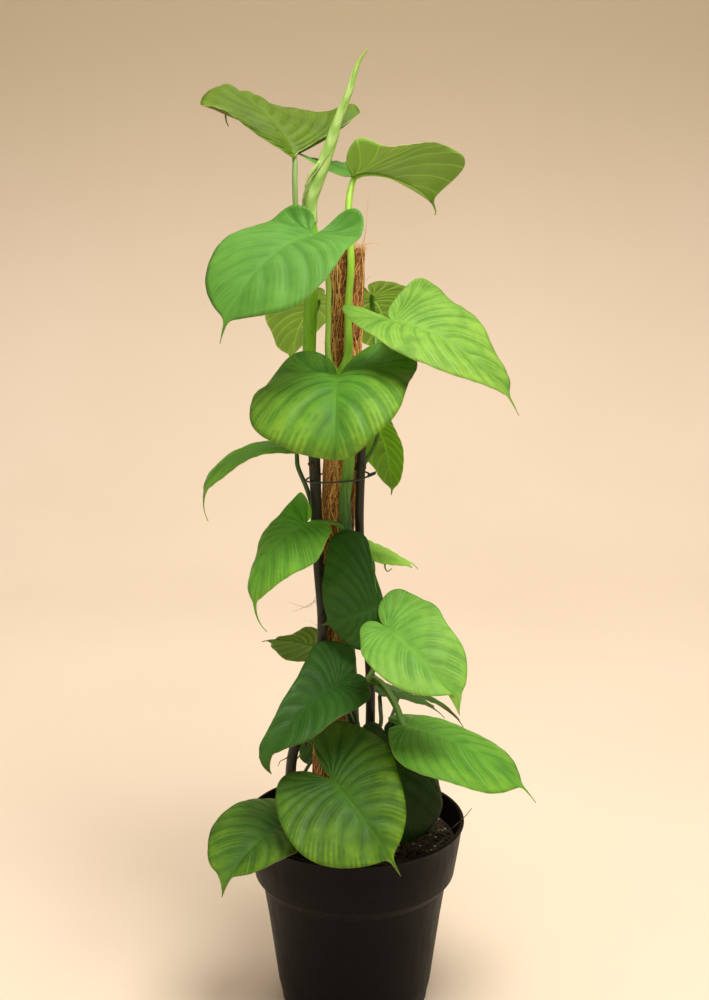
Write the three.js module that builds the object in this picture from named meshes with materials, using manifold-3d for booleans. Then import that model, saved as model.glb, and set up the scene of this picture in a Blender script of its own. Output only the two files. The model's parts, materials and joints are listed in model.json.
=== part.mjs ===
// A climbing philodendron with heart-shaped, ribbed leaves, tied to a coir pole in a round nursery pot.
// Millimetres, +Z up. The origin is the centre of the pot's underside, and -Y is the front.
import * as THREE from "three";
import { mergeVertices } from "three/addons/utils/BufferGeometryUtils.js";
import Module from "manifold-3d";

const wasm = await Module();
wasm.setup();

// Driving dimensions of the pot, the soil and the pole.
const RIM_RADIUS = 85;
const POT_HEIGHT = 150;
const COLLAR_FOOT_Z = 107; // the collar's lower edge
const COLLAR_FOOT_RADIUS = 77.5;
const BODY_TOP_RADIUS = 71.5;
const BASE_RADIUS = 57;
const WALL = 1.8;
const FLOOR = 3;
const DRAIN_COUNT = 6;
const DRAIN_RADIUS = 4;
const DRAIN_CIRCLE = 38;
const POT_SIDES = 44;
const SOIL_TOP = 131;
const SOIL_BUMP = 2.2;
const CLEARANCE = 0.3;
const POLE_RADIUS = 12.5;
const STAKE_RADIUS = 7.5;
const POLE_FOOT = [-27, 4, 8];
const POLE_TOP = [-4.5, 4, 586];

// Driving dimensions of the growth.
const BLADE_THICKNESS = 0.8;
const RIB_HEIGHT = 0.45; // how far the blade swells between its side veins
const PETIOLE_SIDES = 5;
const STEM_SIDES = 8;
const TIE_RADIUS = 0.7;

const vec = (p) => new THREE.Vector3(p[0], p[1], p[2]);
const degrees = THREE.MathUtils.degToRad;

// A closed geometry as a solid that can be cut and joined.
function solid(geometry) {
  const bare = geometry.clone();
  bare.deleteAttribute("normal");
  bare.deleteAttribute("uv");
  const merged = mergeVertices(bare, 1e-4);
  const made = new wasm.Manifold(
    new wasm.Mesh({
      numProp: 3,
      vertProperties: new Float32Array(merged.attributes.position.array),
      triVerts: new Uint32Array(merged.index.array),
    }),
  );
  if (made.volume() >= 0) return made;
  const flipped = merged.clone();
  const turned = Array.from(merged.index.array);
  for (let i = 0; i < turned.length; i += 3) {
    [turned[i + 1], turned[i + 2]] = [turned[i + 2], turned[i + 1]];
  }
  flipped.setIndex(turned);
  return solid(flipped);
}

function geometryOf(made) {
  const cut = made.getMesh();
  const geometry = new THREE.BufferGeometry();
  geometry.setAttribute("position", new THREE.BufferAttribute(cut.vertProperties, 3));
  geometry.setIndex(new THREE.BufferAttribute(cut.triVerts, 1));
  geometry.computeVertexNormals();
  return geometry;
}

// The biggest body of a solid, without the scraps that a cut can leave.
function largest(made) {
  const bodies = made.decompose();
  return bodies.reduce((a, b) => (b.volume() > a.volume() ? b : a));
}

// A round bar along a smooth curve, with a radius given at even steps of its length.
function bar(points, radii, sides, steps, grow = 0) {
  const curve = new THREE.CatmullRomCurve3(points.map(vec), false, "centripetal");
  const frames = curve.computeFrenetFrames(steps, false);
  const positions = [];
  const index = [];
  for (let i = 0; i <= steps; i++) {
    const at = (i / steps) * (radii.length - 1);
    const low = Math.min(Math.floor(at), radii.length - 2);
    const radius = THREE.MathUtils.lerp(radii[low], radii[low + 1], at - low) + grow;
    const centre = curve.getPointAt(i / steps);
    for (let j = 0; j < sides; j++) {
      const angle = (j / sides) * 2 * Math.PI;
      const p = centre
        .clone()
        .addScaledVector(frames.normals[i], radius * Math.cos(angle))
        .addScaledVector(frames.binormals[i], radius * Math.sin(angle));
      positions.push(p.x, p.y, p.z);
    }
  }
  for (let i = 0; i < steps; i++) {
    for (let j = 0; j < sides; j++) {
      const a = i * sides + j;
      const b = i * sides + ((j + 1) % sides);
      index.push(a, b, b + sides, a, b + sides, a + sides);
    }
  }
  const last = steps * sides;
  for (let j = 1; j < sides - 1; j++) {
    index.push(0, j + 1, j, last, last + j, last + j + 1);
  }
  const geometry = new THREE.BufferGeometry();
  geometry.setAttribute("position", new THREE.Float32BufferAttribute(positions, 3));
  geometry.setIndex(index);
  return geometry;
}

// A lathed body about +Z from [radius, height] pairs that start and end on the axis or close on themselves.
function lathe(profile, sides) {
  const geometry = new THREE.LatheGeometry(
    profile.map(([r, z]) => new THREE.Vector2(r, z)),
    sides,
  );
  return geometry.rotateX(Math.PI / 2);
}

function cubic(a, b, c, d, steps) {
  const curve = new THREE.CubicBezierCurve(
    new THREE.Vector2(...a),
    new THREE.Vector2(...b),
    new THREE.Vector2(...c),
    new THREE.Vector2(...d),
  );
  return curve.getPoints(steps);
}

// Half of a heart-shaped leaf laid flat: from the notch round the lobe and the side to the drip tip.
function halfOutline(form, hand) {
  const { length, drip } = form;
  const width = form.width[hand];
  const lobe = form.lobe[hand];
  const full = form.full[hand];
  const heel = form.heel[hand] * width;
  const blade = length - drip;
  const widest = form.wide[hand] * blade;
  const shoulder = widest - 0.55 * (widest + 0.25 * lobe);
  const rest = blade - widest;
  const pieces = [
    cubic([0, 0], [-0.62 * lobe, form.notch[hand] * width], [-lobe, 0.29 * heel], [-lobe, heel], 30),
    cubic([-lobe, heel], [-lobe, 1.9 * heel], [shoulder, width], [widest, width], 30),
    cubic([widest, width], [widest + 0.4 * rest, width],
      [widest + 0.74 * rest, 0.74 * width * full], [widest + 0.93 * rest, 0.24 * width], 40),
    cubic([widest + 0.93 * rest, 0.24 * width], [widest + 0.975 * rest, 0.12 * width],
      [blade - 0.1 * drip, 0.05 * width + 0.5], [blade + 0.2 * drip, 0.018 * width + 0.5], 20),
    cubic([blade + 0.2 * drip, 0.018 * width + 0.5], [blade + 0.45 * drip, 0.012 * width + 0.4],
      [length - 0.2 * drip, 0.35], [length, 0], 12),
  ];
  const points = pieces.flatMap((piece, i) => (i ? piece.slice(1) : piece));
  const run = [0];
  for (let i = 1; i < points.length; i++) {
    run.push(run[i - 1] + points[i].distanceTo(points[i - 1]));
  }
  const total = run[run.length - 1];
  return (share) => {
    const want = share * total;
    let i = 1;
    while (i < run.length - 1 && run[i] < want) i++;
    const part = (want - run[i - 1]) / (run[i] - run[i - 1] || 1);
    return points[i - 1].clone().lerp(points[i], Math.min(Math.max(part, 0), 1));
  };
}

const MIDRIB_STEPS = 200;
const VEIN_START_POWER = 2.3; // how much the side veins crowd towards the petiole
const MARGIN_REACH = 0.11; // how far along the outline a drawn place takes the rest with it
const SPINE_REACH = 0.22;

function near(share, at, reach) {
  return Math.exp(-(((share - at) / reach) ** 2));
}

// How a leaf lies in space: its midrib arches from base to tip, and its halves lift, cup and bend.
class LeafForm {
  constructor(spec) {
    Object.assign(this, LEAF_DEFAULTS, spec);
    const chord = vec(this.tip).sub(vec(this.base));
    let x = 0;
    let z = 0;
    this.runX = [0];
    this.runZ = [0];
    for (let i = 0; i < MIDRIB_STEPS; i++) {
      const angle = this.slope((i + 0.5) / MIDRIB_STEPS);
      x += Math.cos(angle) / MIDRIB_STEPS;
      z += Math.sin(angle) / MIDRIB_STEPS;
      this.runX.push(x);
      this.runZ.push(z);
    }
    this.length = chord.length() / Math.hypot(x, z);
    const lead = Math.atan2(z, x);
    const ahead = chord.clone().normalize();
    const face = vec(this.face);
    const up = face.addScaledVector(ahead, -face.dot(ahead)).normalize();
    this.side = new THREE.Vector3().crossVectors(up, ahead);
    this.forward = ahead.clone().multiplyScalar(Math.cos(lead)).addScaledVector(up, -Math.sin(lead));
    this.normal = up.clone().multiplyScalar(Math.cos(lead)).addScaledVector(ahead, Math.sin(lead));
  }

  // The midrib's angle above the chord's frame at a share of its length.
  slope(share) {
    const end = Math.pow(Math.min(Math.max((share - 0.72) / 0.28, 0), 1), 1.5);
    return degrees(this.arch) * (1 - 2 * share) - degrees(this.tipBend) * end;
  }

  // The place of a flat point: u along the midrib, v out from it, on hand 0 (left) or 1 (right).
  place(u, v, hand, lifted = 0) {
    const share = Math.min(Math.max(u / this.length, 0), 1);
    const step = Math.min(Math.floor(share * MIDRIB_STEPS), MIDRIB_STEPS - 1);
    const part = share * MIDRIB_STEPS - step;
    let x = this.length * THREE.MathUtils.lerp(this.runX[step], this.runX[step + 1], part);
    let z = this.length * THREE.MathUtils.lerp(this.runZ[step], this.runZ[step + 1], part);
    let slope = this.slope(share);
    const back = Math.max(-u, 0);
    const turned = (degrees(this.lobeBend[hand]) * back) / this.lobe[hand];
    x -= back * Math.cos(slope - turned / 2);
    z -= back * Math.sin(slope - turned / 2);
    slope -= turned;
    const width = this.width[hand];
    const lift = degrees(this.lift[hand]);
    const cup = degrees(this.cup[hand]) + 1e-6;
    const bend = lift + (cup * v) / width;
    const across = (width / cup) * (Math.sin(bend) - Math.sin(lift));
    const raised = (-width / cup) * (Math.cos(bend) - Math.cos(lift)) + lifted;
    x -= raised * Math.sin(slope);
    z += raised * Math.cos(slope);
    const point = vec(this.base)
      .addScaledVector(this.forward, x)
      .addScaledVector(this.normal, z)
      .addScaledVector(this.side, hand ? -across : across);
    for (const [at, moveX, moveZ] of this.spine) {
      point.addScaledVector(new THREE.Vector3(moveX, 0, moveZ), near(share, at, SPINE_REACH));
    }
    return point;
  }

  // How far the margin's drawn places move a point of a half, at its row's and its column's share.
  drawn(k, w, hand) {
    const moved = new THREE.Vector3();
    const pull = w ** 1.5 * Math.min(1, (1 - k) * 12);
    for (const [side, at, x, z] of this.margin) {
      if (side === hand) moved.addScaledVector(new THREE.Vector3(x, 0, z), pull * near(k, at, MARGIN_REACH));
    }
    return moved;
  }

  // The point on the midrib's underside at a share of its length, sunk by depth.
  under(share, depth) {
    return this.place(share * this.length, 0, 0, -depth);
  }
}

// The blade as one closed sheet. Its grid follows the side veins: rows run from midrib to margin.
function bladeGeometry(form, rows, columns) {
  const outlines = [0, 1].map((hand) => halfOutline(form, hand));
  const flat = (k, w, hand) => {
    const edge = outlines[hand](k);
    const start = form.length * Math.pow(k, VEIN_START_POWER);
    const reach = Math.hypot(edge.x - start, edge.y);
    const sway = Math.cos(Math.PI * Math.min(k / 0.55, 1)) * Math.min(1, (1 - k) * 5);
    const bulge = 0.1 * reach * Math.min(1, (1 - k) * 5);
    const middleU = 0.5 * (start + edge.x) + 0.11 * reach * sway;
    const middleV = 0.5 * edge.y + bulge;
    return [
      (1 - w) ** 2 * start + 2 * (1 - w) * w * middleU + w * w * edge.x,
      2 * (1 - w) * w * middleV + w * w * edge.y,
    ];
  };
  const swell = (row, w) => {
    const fade = Math.sin(Math.PI * Math.min(row / rows, 1));
    return (row % 2 ? RIB_HEIGHT : -RIB_HEIGHT) * Math.sin(Math.PI * Math.min(w, 0.85)) * fade;
  };
  const point = (row, column, hand) => {
    const w = column / columns;
    const [u, v] = flat(row / rows, w, hand);
    return form.place(u, v, hand, swell(row, w)).add(form.drawn(row / rows, w, hand));
  };
  const nodes = [];
  const ids = new Map();
  const add = (key, p) => {
    ids.set(key, nodes.length);
    nodes.push(p);
  };
  add("base", form.place(0, 0, 0));
  add("tip", form.place(form.length, 0, 0));
  for (let row = 1; row < rows; row++) {
    add(`${row},0,0`, point(row, 0, 0));
    for (let column = 1; column <= columns; column++) {
      add(`${row},${column},0`, point(row, column, 0));
      add(`${row},${column},1`, point(row, column, 1));
    }
  }
  const id = (row, column, hand) => {
    if (row <= 0) return ids.get("base");
    if (row >= rows) return ids.get("tip");
    return ids.get(`${row},${column},${column ? hand : 0}`);
  };
  const faces = [];
  const put = (a, b, c, hand) => {
    if (a === b || b === c || a === c) return;
    faces.push(hand ? [a, c, b] : [a, b, c]);
  };
  for (const hand of [0, 1]) {
    for (let row = 0; row < rows; row++) {
      for (let column = 0; column < columns; column++) {
        const a = id(row, column, hand);
        const b = id(row + 1, column, hand);
        const c = id(row + 1, column + 1, hand);
        const d = id(row, column + 1, hand);
        put(a, b, c, hand);
        put(a, c, d, hand);
      }
    }
  }
  const normals = nodes.map(() => new THREE.Vector3());
  for (const [a, b, c] of faces) {
    const across = new THREE.Vector3().subVectors(nodes[b], nodes[a]);
    const along = new THREE.Vector3().subVectors(nodes[c], nodes[a]);
    const area = across.cross(along);
    for (const i of [a, b, c]) normals[i].add(area);
  }
  const positions = [];
  for (const way of [0.5, -0.5]) {
    nodes.forEach((p, i) => {
      const q = p.clone().addScaledVector(normals[i].clone().normalize(), way * BLADE_THICKNESS);
      positions.push(q.x, q.y, q.z);
    });
  }
  const index = [];
  for (const [a, b, c] of faces) {
    index.push(a, b, c, a + nodes.length, c + nodes.length, b + nodes.length);
  }
  const rim = [id(0, 0, 0)];
  for (let row = 1; row < rows; row++) rim.push(id(row, columns, 0));
  rim.push(id(rows, 0, 0));
  for (let row = rows - 1; row > 0; row--) rim.push(id(row, columns, 1));
  rim.forEach((a, i) => {
    const b = rim[(i + 1) % rim.length];
    index.push(a, b, b + nodes.length, a, b + nodes.length, a + nodes.length);
  });
  const geometry = new THREE.BufferGeometry();
  geometry.setAttribute("position", new THREE.Float32BufferAttribute(positions, 3));
  geometry.setIndex(index);
  return geometry;
}

const LEAF_DEFAULTS = {
  width: [45, 45], // of the left and the right half, seen from above with the tip ahead
  lobe: [26, 26], // how far each lobe reaches behind the petiole
  wide: [0.34, 0.34], // where each half is widest, as a share of the blade
  heel: [0.42, 0.42], // how far out each lobe's end lies, as a share of the width
  notch: [0, 0], // how far apart the lobes start, likewise
  full: [1, 1], // how full each half stays towards the tip
  drip: 16,
  arch: 20,
  tipBend: 10,
  margin: [], // places where the margin is drawn out: hand, share of the outline, move in x and z
  spine: [], // places where the whole blade is moved: share of the midrib, move in x and z
  lift: [12, 12],
  cup: [-20, -20],
  lobeBend: [0, 0],
  radius: 2, // of the petiole
  via: [],
  rows: 12,
  columns: 3,
};

// Each leaf: its blade's base and tip, the way it faces, its form, and its petiole's stem, height and path.
const LEAVES = {
  leaf_01: {
    base: [-41.5, 3, 650.5], tip: [-95, 73, 668.5], face: [0.2, -0.3, 0.9], width: [36, 50],
    lobe: [3, 2], heel: [0.12, 0.1], wide: [0.55, 0.06], full: [0.9, 0.8], arch: 34, tipBend: 150,
    lift: [8, 8], cup: [-10, -10], spine: [[0.78, 3, 7]],
    margin: [
      [1, 0.1, 0, 6], [1, 0.2, 3, 8], [1, 0.32, 6, 19], [1, 0.6, 0, -4], [1, 0.72, 0, -9],
      [0, 0.6, -4, -5], [0, 0.72, -2, -4], [0, 0.88, 4, 7],
    ],
    stem: "stem_left", node: 588, via: [[-40, -6, 606], [-42, -3, 630]],
  },
  leaf_02: {
    base: [-2, 11, 636], tip: [61.5, 84, 605.5], face: [-0.1, 0.8, 0.6], width: [42, 46],
    lobe: [26, 20], wide: [0.34, 0.7], full: [1.5, 1.5], arch: 24, tipBend: 130, lift: [60, -10],
    cup: [-20, 10], lobeBend: [20, 90],
    margin: [[1, 0.15, 4, 5], [1, 0.4, 2, -1], [1, 0.75, 3, -2], [0, 0.25, -6, 9]], radius: 2.6,
    stem: "stem_front", node: 495,
    via: [[-5, -16.5, 509], [-4.5, -15.5, 547], [-2.5, -14.5, 572], [-3, -10, 592], [-4, -1, 618]],
  },
  leaf_03: {
    base: [-28, -44, 598], tip: [-88.5, -100, 530], face: [-0.25, -0.55, 0.8], width: [50, 52],
    lobe: [26, 20], notch: [0, 0.2], arch: 34, lift: [10, 5], lobeBend: [75, 70],
    margin: [
      [0, 0.22, -1, 4], [0, 0.4, -7, 1], [0, 0.7, 3, -7], [1, 0.62, 2, 0], [1, 0.2, -4, 2],
      [1, 0.4, 0, 1],
    ],
    stem: "stem_front", node: 493, via: [[-18, -19, 508], [-18.5, -18, 540], [-19, -21, 568]],
  },
  leaf_04: {
    base: [27, -40, 539], tip: [112, -75, 478], face: [0.2, -0.5, 0.8], width: [48, 46], lobe: [12, 26],
    heel: [0.6, 0.42], wide: [0.28, 0.34], full: [0.75, 0.9], arch: 28, lift: [5, 30],
    lobeBend: [45, 25],
    margin: [
      [0, 0.25, 6, 10], [0, 0.5, -4, 3], [0, 0.7, -6, -3], [1, 0.22, -5, 2], [1, 0.48, 2, -9],
      [1, 0.62, 2, -5],
    ],
    stem: "stem_right", node: 495, via: [[16, -9, 513], [21, -17, 528]],
  },
  leaf_05: {
    base: [-12, -45, 501], tip: [-13, -92, 453], face: [0, -0.75, 0.65], width: [54, 62],
    lobe: [32, 34], wide: [0.3, 0.46], full: [1, 1.2], drip: 10, arch: 52, tipBend: 120, lift: [20, 8],
    cup: [-44, -44], lobeBend: [45, 80],
    margin: [[0, 0.2, 8, 7], [0, 0.35, 10, 9], [0, 0.6, -4, 5], [0, 0.8, -2, 4], [1, 0.2, 2, -4]],
    stem: "stem_front", node: 462, via: [[-8, -26, 474], [-11, -37, 488]],
  },
  leaf_06: {
    base: [-27, 38, 546], tip: [-50, 84, 483], face: [-0.4, 0.7, 0.5], width: [34, 26], arch: 30,
    margin: [[0, 0.7, 7, 0]], stem: "stem_left", node: 482, via: [[-36, 8, 500], [-32, 26, 528]],
  },
  leaf_07: {
    base: [13, 34, 550], tip: [27, 72, 490], face: [0.3, 0.7, 0.5], width: [21, 38], lobe: [14, 26],
    arch: 30, margin: [[0, 0.6, -8, 0], [0, 0.78, -13, -2]], stem: "stem_right", node: 478,
    via: [[15, 3, 496], [15, 20, 525]],
  },
  leaf_08: {
    base: [-43, 10, 438], tip: [-107, -5, 387], face: [-0.4, 0, 0.9], width: [32, 34], lobe: [8, 10],
    arch: 54, tipBend: 20, lift: [8, 8], cup: [-20, -15], spine: [[0.8, -3, 0]], radius: 1.7,
    stem: "stem_left", node: 388, via: [[-35, 0, 410], [-42, 7, 426]],
  },
  leaf_09: {
    base: [16, 18, 459], tip: [28, 28, 399], face: [0.5, 0.8, 0.3], width: [36, 14], lobe: [18, 18],
    drip: 5, arch: 20, margin: [[0, 0.72, 8, 0], [0, 0.9, 2, 0], [1, 0.9, 1, 0]], radius: 1.6,
    stem: "stem_right", node: 428, via: [[14, 4, 440], [17, 11, 450]],
  },
  leaf_10: {
    base: [-35.5, -34, 392.5], tip: [-62, -69, 322], face: [-0.75, -0.35, 0.55], width: [38, 34],
    lobe: [18, 30], wide: [0.28, 0.1], drip: 24, arch: 48, tipBend: 30, lift: [-5, 10],
    lobeBend: [0, 110],
    margin: [
      [1, 0.1, -8, -3], [1, 0.2, 3, -4], [1, 0.35, -9, 4], [1, 0.65, 8, 0], [0, 0.17, -10, -2],
      [0, 0.5, 5, -4],
    ],
    radius: 1.5, stem: "stem_front", node: 385, via: [[-17, -26, 391], [-28, -33, 393]],
  },
  leaf_11: {
    base: [9, 26, 358], tip: [50, 50, 335], face: [0, -0.25, 1], width: [28, 26], lobe: [12, 12],
    arch: 15, cup: [-20, -25],
    margin: [[0, 0.5, 0, -5], [0, 0.65, 0, -6], [0, 0.78, 0, -3], [1, 0.78, 3, -4]], radius: 1.5,
    stem: "stem_right", node: 328, via: [[14, 8, 342], [13, 18, 352]],
  },
  leaf_12: {
    base: [20.5, -42.5, 334], tip: [-24.5, -29, 314], face: [-0.25, -0.9, 0], width: [32, 64],
    lobe: [3, 3], wide: [0.3, 0.48], drip: 8, arch: 15, lift: [12, 0], cup: [-40, -30],
    margin: [[1, 0.35, 7, 2], [1, 0.47, 6, 0], [1, 0.65, 4, 0]], stem: "stem_right", node: 300,
    via: [[16, -14, 312], [21, -32, 326]],
  },
  leaf_13: {
    base: [22.5, -64, 324], tip: [73, -104, 272.5], face: [0.1, -0.7, 0.7], width: [40, 33],
    lobe: [22, 14], arch: 33, lobeBend: [20, 20],
    margin: [[0, 0.2, 3, 4], [0, 0.58, -9, 0], [0, 0.9, 6, 0], [1, 0.25, 5, 0], [1, 0.9, 4, 2]],
    stem: "stem_front", node: 254, via: [[12, -28, 276], [21, -50, 304]],
  },
  leaf_14: {
    base: [-26, 36, 275], tip: [-72, 28, 283], face: [0, 0.75, 0.6], width: [31, 27], lobe: [10, 12],
    arch: 15,
    margin: [[0, 0.45, 0, -6], [0, 0.65, 0, -7], [0, 0.8, -6, -1], [1, 0.62, -4, -2], [1, 0.8, -8, -3]],
    radius: 1.6, stem: "stem_left", node: 222, via: [[-44, 10, 244], [-33, 28, 264]],
  },
  leaf_15: {
    base: [-11, -45, 275], tip: [-59, -85, 221], face: [-0.25, -0.45, 0.8], width: [32, 40],
    lobe: [26, 30], wide: [0.3, 0.05], full: [0.75, 0.75], arch: 28, tipBend: 70, lift: [5, 40],
    lobeBend: [0, 40],
    margin: [
      [1, 0.5, 9, -2], [1, 0.63, 13, -2], [1, 0.78, 8, -1], [1, 0.92, -8, 0], [0, 0.2, -10, 0],
      [0, 0.6, -3, 4], [0, 0.85, 0, 3],
    ],
    stem: "stem_front", node: 232, via: [[-5, -32, 250], [-8, -40, 264]],
  },
  leaf_16: {
    base: [20.5, 25, 242], tip: [72.5, 54, 210], face: [0, 0, 1], width: [28, 18], lobe: [8, 5],
    arch: 15, radius: 1.6, stem: "stem_right", node: 212, via: [[20, 8, 222], [20, 18, 234]],
  },
  leaf_17: {
    base: [40, 78, 226], tip: [91, 98, 185], face: [0, 0, 1], width: [16, 16], lobe: [10, 10], drip: 8,
    arch: 15, radius: 1.4, stem: "stem_right", node: 180, via: [[18, 20, 190], [30, 54, 212]],
  },
  leaf_18: {
    base: [38, -40, 240], tip: [131, -75, 195], face: [0.1, -0.2, 0.95], width: [43, 50],
    lobe: [20, 12], arch: 22, lift: [-8, 8], margin: [[1, 0.2, 8, 3], [1, 0.75, 0, -2]], radius: 2.6,
    stem: "stem_right", node: 262, via: [[20, -10, 262], [30, -26, 252]],
  },
  leaf_19: {
    base: [23, -20, 227], tip: [38, -45, 146], face: [0.7, -0.6, 0.3], width: [40, 38], lobe: [8, 10],
    drip: 3, arch: 20, margin: [[0, 0.75, 5, 0], [0, 0.9, 4, 0], [1, 0.85, -4, 0]], stem: "stem_right",
    node: 190, via: [[18, -6, 206], [22, -14, 222]],
  },
  leaf_20: {
    base: [-17, -72, 212], tip: [33, -112, 155], face: [0, -0.7, 0.7], width: [46, 52], lobe: [38, 24],
    wide: [0.05, 0.36], arch: 25, lobeBend: [45, 30],
    margin: [[0, 0.4, 6, 0], [0, 0.65, -3, 0], [1, 0.1, 0, -6]], stem: "stem_front", node: 160,
    via: [[-6, -38, 176], [-12, -58, 198]],
  },
  leaf_21: {
    base: [-49, -52, 169], tip: [-95, -100, 133], face: [-0.4, -0.5, 0.8], width: [37, 47], arch: 32,
    margin: [[0, 0.7, 0, 3], [1, 0.88, -7, 0], [1, 0.6, 0, -2]], stem: "stem_left", node: 146,
    via: [[-48, -26, 156], [-49, -40, 163]],
  },
  leaf_22: {
    base: [-23.5, 34, 198.5], tip: [-46.5, 40, 180], face: [-0.3, -0.5, 0.8], width: [18, 16],
    lobe: [8, 8], drip: 6, arch: 20, radius: 1.3, stem: "stem_left", node: 160,
    via: [[-42, 8, 176], [-30, 24, 192]],
  },
};
const SMALL_LEAVES = ["06", "07", "08", "09", "11", "14", "16", "17", "19", "22"];
for (const number of SMALL_LEAVES) Object.assign(LEAVES[`leaf_${number}`], { rows: 10, columns: 2 });

// The three climbing stems, from inside the soil to their last node.
const STEMS = {
  stem_front: {
    points: [[-2, -22, 60], [-2, -22, 138], [-1, -20, 200], [-2, -17, 258], [-6.5, -14.5, 330],
      [-6.5, -14.5, 382], [-7, -14.5, 405], [-4, -14.5, 438], [-8.5, -15.5, 475], [-11, -16.5, 500]],
    radii: [5, 5, 4.6, 4.3, 4.2, 4.4],
  },
  stem_left: {
    points: [[-48, -12, 60], [-48, -12, 138], [-48, -11, 199], [-41, -11, 228], [-24.5, -13, 297],
      [-27, -9, 360], [-29, -6, 424], [-32.5, -8, 512], [-31, -8, 552], [-30, -10, 595], [-33, -10, 608]],
    radii: [4.6, 4.4, 4, 4, 4, 4.4, 4.8, 4.6],
  },
  stem_right: {
    points: [[13, 0, 60], [13, 0, 138], [12, 0, 200], [11.8, 0, 265], [7, -3, 330], [3.6, -5, 382],
      [5, -5.5, 436], [6.5, -6, 480], [8, -6, 506]],
    radii: [4.2, 4, 3.6, 3.5, 3.4, 3.4],
  },
};
const STEM_STEPS = 22;

const stemCurve = (name) => new THREE.CatmullRomCurve3(STEMS[name].points.map(vec), false, "centripetal");

// The point of a stem's middle line at a height.
function stemAt(name, height) {
  const line = stemCurve(name).getSpacedPoints(400);
  return line.reduce((a, b) => (Math.abs(b.z - height) < Math.abs(a.z - height) ? b : a));
}

const PETIOLE_STEPS = 10;
const MIDRIB_REACH = [0.06, 0.15]; // shares of the midrib that the petiole runs on under

// A blade and its petiole as one body, seated on its stem with a small clearance.
function leaf(spec, stems) {
  const form = new LeafForm(spec);
  const blade = solid(bladeGeometry(form, form.rows, form.columns));
  const start = stemAt(form.stem, form.node);
  const sink = form.radius * 0.55;
  const path = [
    start.toArray(),
    ...form.via,
    form.under(0, sink).toArray(),
    ...MIDRIB_REACH.map((share) => form.under(share, sink * (1 - 2.4 * share)).toArray()),
  ];
  const r = form.radius;
  const radii = [1.25 * r, 1.05 * r, r, r, r, 0.9 * r, 0.7 * r];
  const petiole = solid(bar(path, radii, PETIOLE_SIDES, PETIOLE_STEPS));
  return largest(blade.add(petiole).subtract(stems[form.stem]));
}

// The pot: a lathed shell with a collar, a lip and drain holes.
function pot() {
  const outside = [[0, 0], [BASE_RADIUS - 1.5, 0], [BASE_RADIUS, 1.5], [BASE_RADIUS + 0.5, 6], [60, 17],
    [67.3, 73], [BODY_TOP_RADIUS, 100], [COLLAR_FOOT_RADIUS, COLLAR_FOOT_Z], [81.5, 132],
    [RIM_RADIUS - 1.4, POT_HEIGHT - 3], [RIM_RADIUS, POT_HEIGHT - 2], [RIM_RADIUS - 0.3, POT_HEIGHT]];
  const inside = [[RIM_RADIUS - WALL - 0.8, POT_HEIGHT], [81.5 - WALL, 132],
    [COLLAR_FOOT_RADIUS - WALL, COLLAR_FOOT_Z + 1], [BODY_TOP_RADIUS - WALL, 101.5], [67.3 - WALL, 73],
    [60 - WALL, 17], [BASE_RADIUS - WALL, FLOOR], [0, FLOOR]];
  let shell = solid(lathe([...outside, ...inside], POT_SIDES));
  for (let i = 0; i < DRAIN_COUNT; i++) {
    const angle = ((i + 0.5) / DRAIN_COUNT) * 2 * Math.PI;
    const hole = new THREE.CylinderGeometry(DRAIN_RADIUS, DRAIN_RADIUS, 4 * FLOOR, 12).rotateX(Math.PI / 2);
    hole.translate(DRAIN_CIRCLE * Math.cos(angle), DRAIN_CIRCLE * Math.sin(angle), 0);
    shell = shell.subtract(solid(hole));
  }
  return shell;
}

const bumps = (x, y) =>
  Math.sin(x * 0.21 + 1) * Math.cos(y * 0.17) +
  0.6 * Math.sin(x * 0.43 - y * 0.31) +
  0.4 * Math.cos(y * 0.55 + 2);

// The soil: it fills the pot to just below its collar's top, and its surface is bumpy.
function soil() {
  const inner = (z) => {
    if (z < 73) return 60 - WALL + ((z - 17) * 7.3) / 56;
    return 67.3 - WALL + ((z - 73) * (BODY_TOP_RADIUS - 67.3)) / 28.5;
  };
  const side = [[0, FLOOR + CLEARANCE], [inner(FLOOR) - 1.5, FLOOR + CLEARANCE], [inner(40) - CLEARANCE, 40],
    [inner(73) - CLEARANCE, 73], [BODY_TOP_RADIUS - WALL - 3 * CLEARANCE, 101],
    [COLLAR_FOOT_RADIUS - WALL - 2 * CLEARANCE, COLLAR_FOOT_Z + 1.5],
    [81.5 - WALL - 0.9, SOIL_TOP]];
  const rings = [68, 56, 44, 32, 20, 8, 0].map((r) => [r, SOIL_TOP]);
  const geometry = lathe([...side, ...rings], 32);
  const position = geometry.attributes.position;
  for (let i = 0; i < position.count; i++) {
    const r = Math.hypot(position.getX(i), position.getY(i));
    if (position.getZ(i) < SOIL_TOP - 1 || r > 70) continue;
    const x = Math.round(position.getX(i) * 1e3) / 1e3;
    const y = Math.round(position.getY(i) * 1e3) / 1e3;
    position.setZ(i, SOIL_TOP + SOIL_BUMP * (0.4 + bumps(x, y)));
  }
  return solid(geometry);
}

const poleAxis = () => new THREE.Line3(vec(POLE_FOOT), vec(POLE_TOP));

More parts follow.
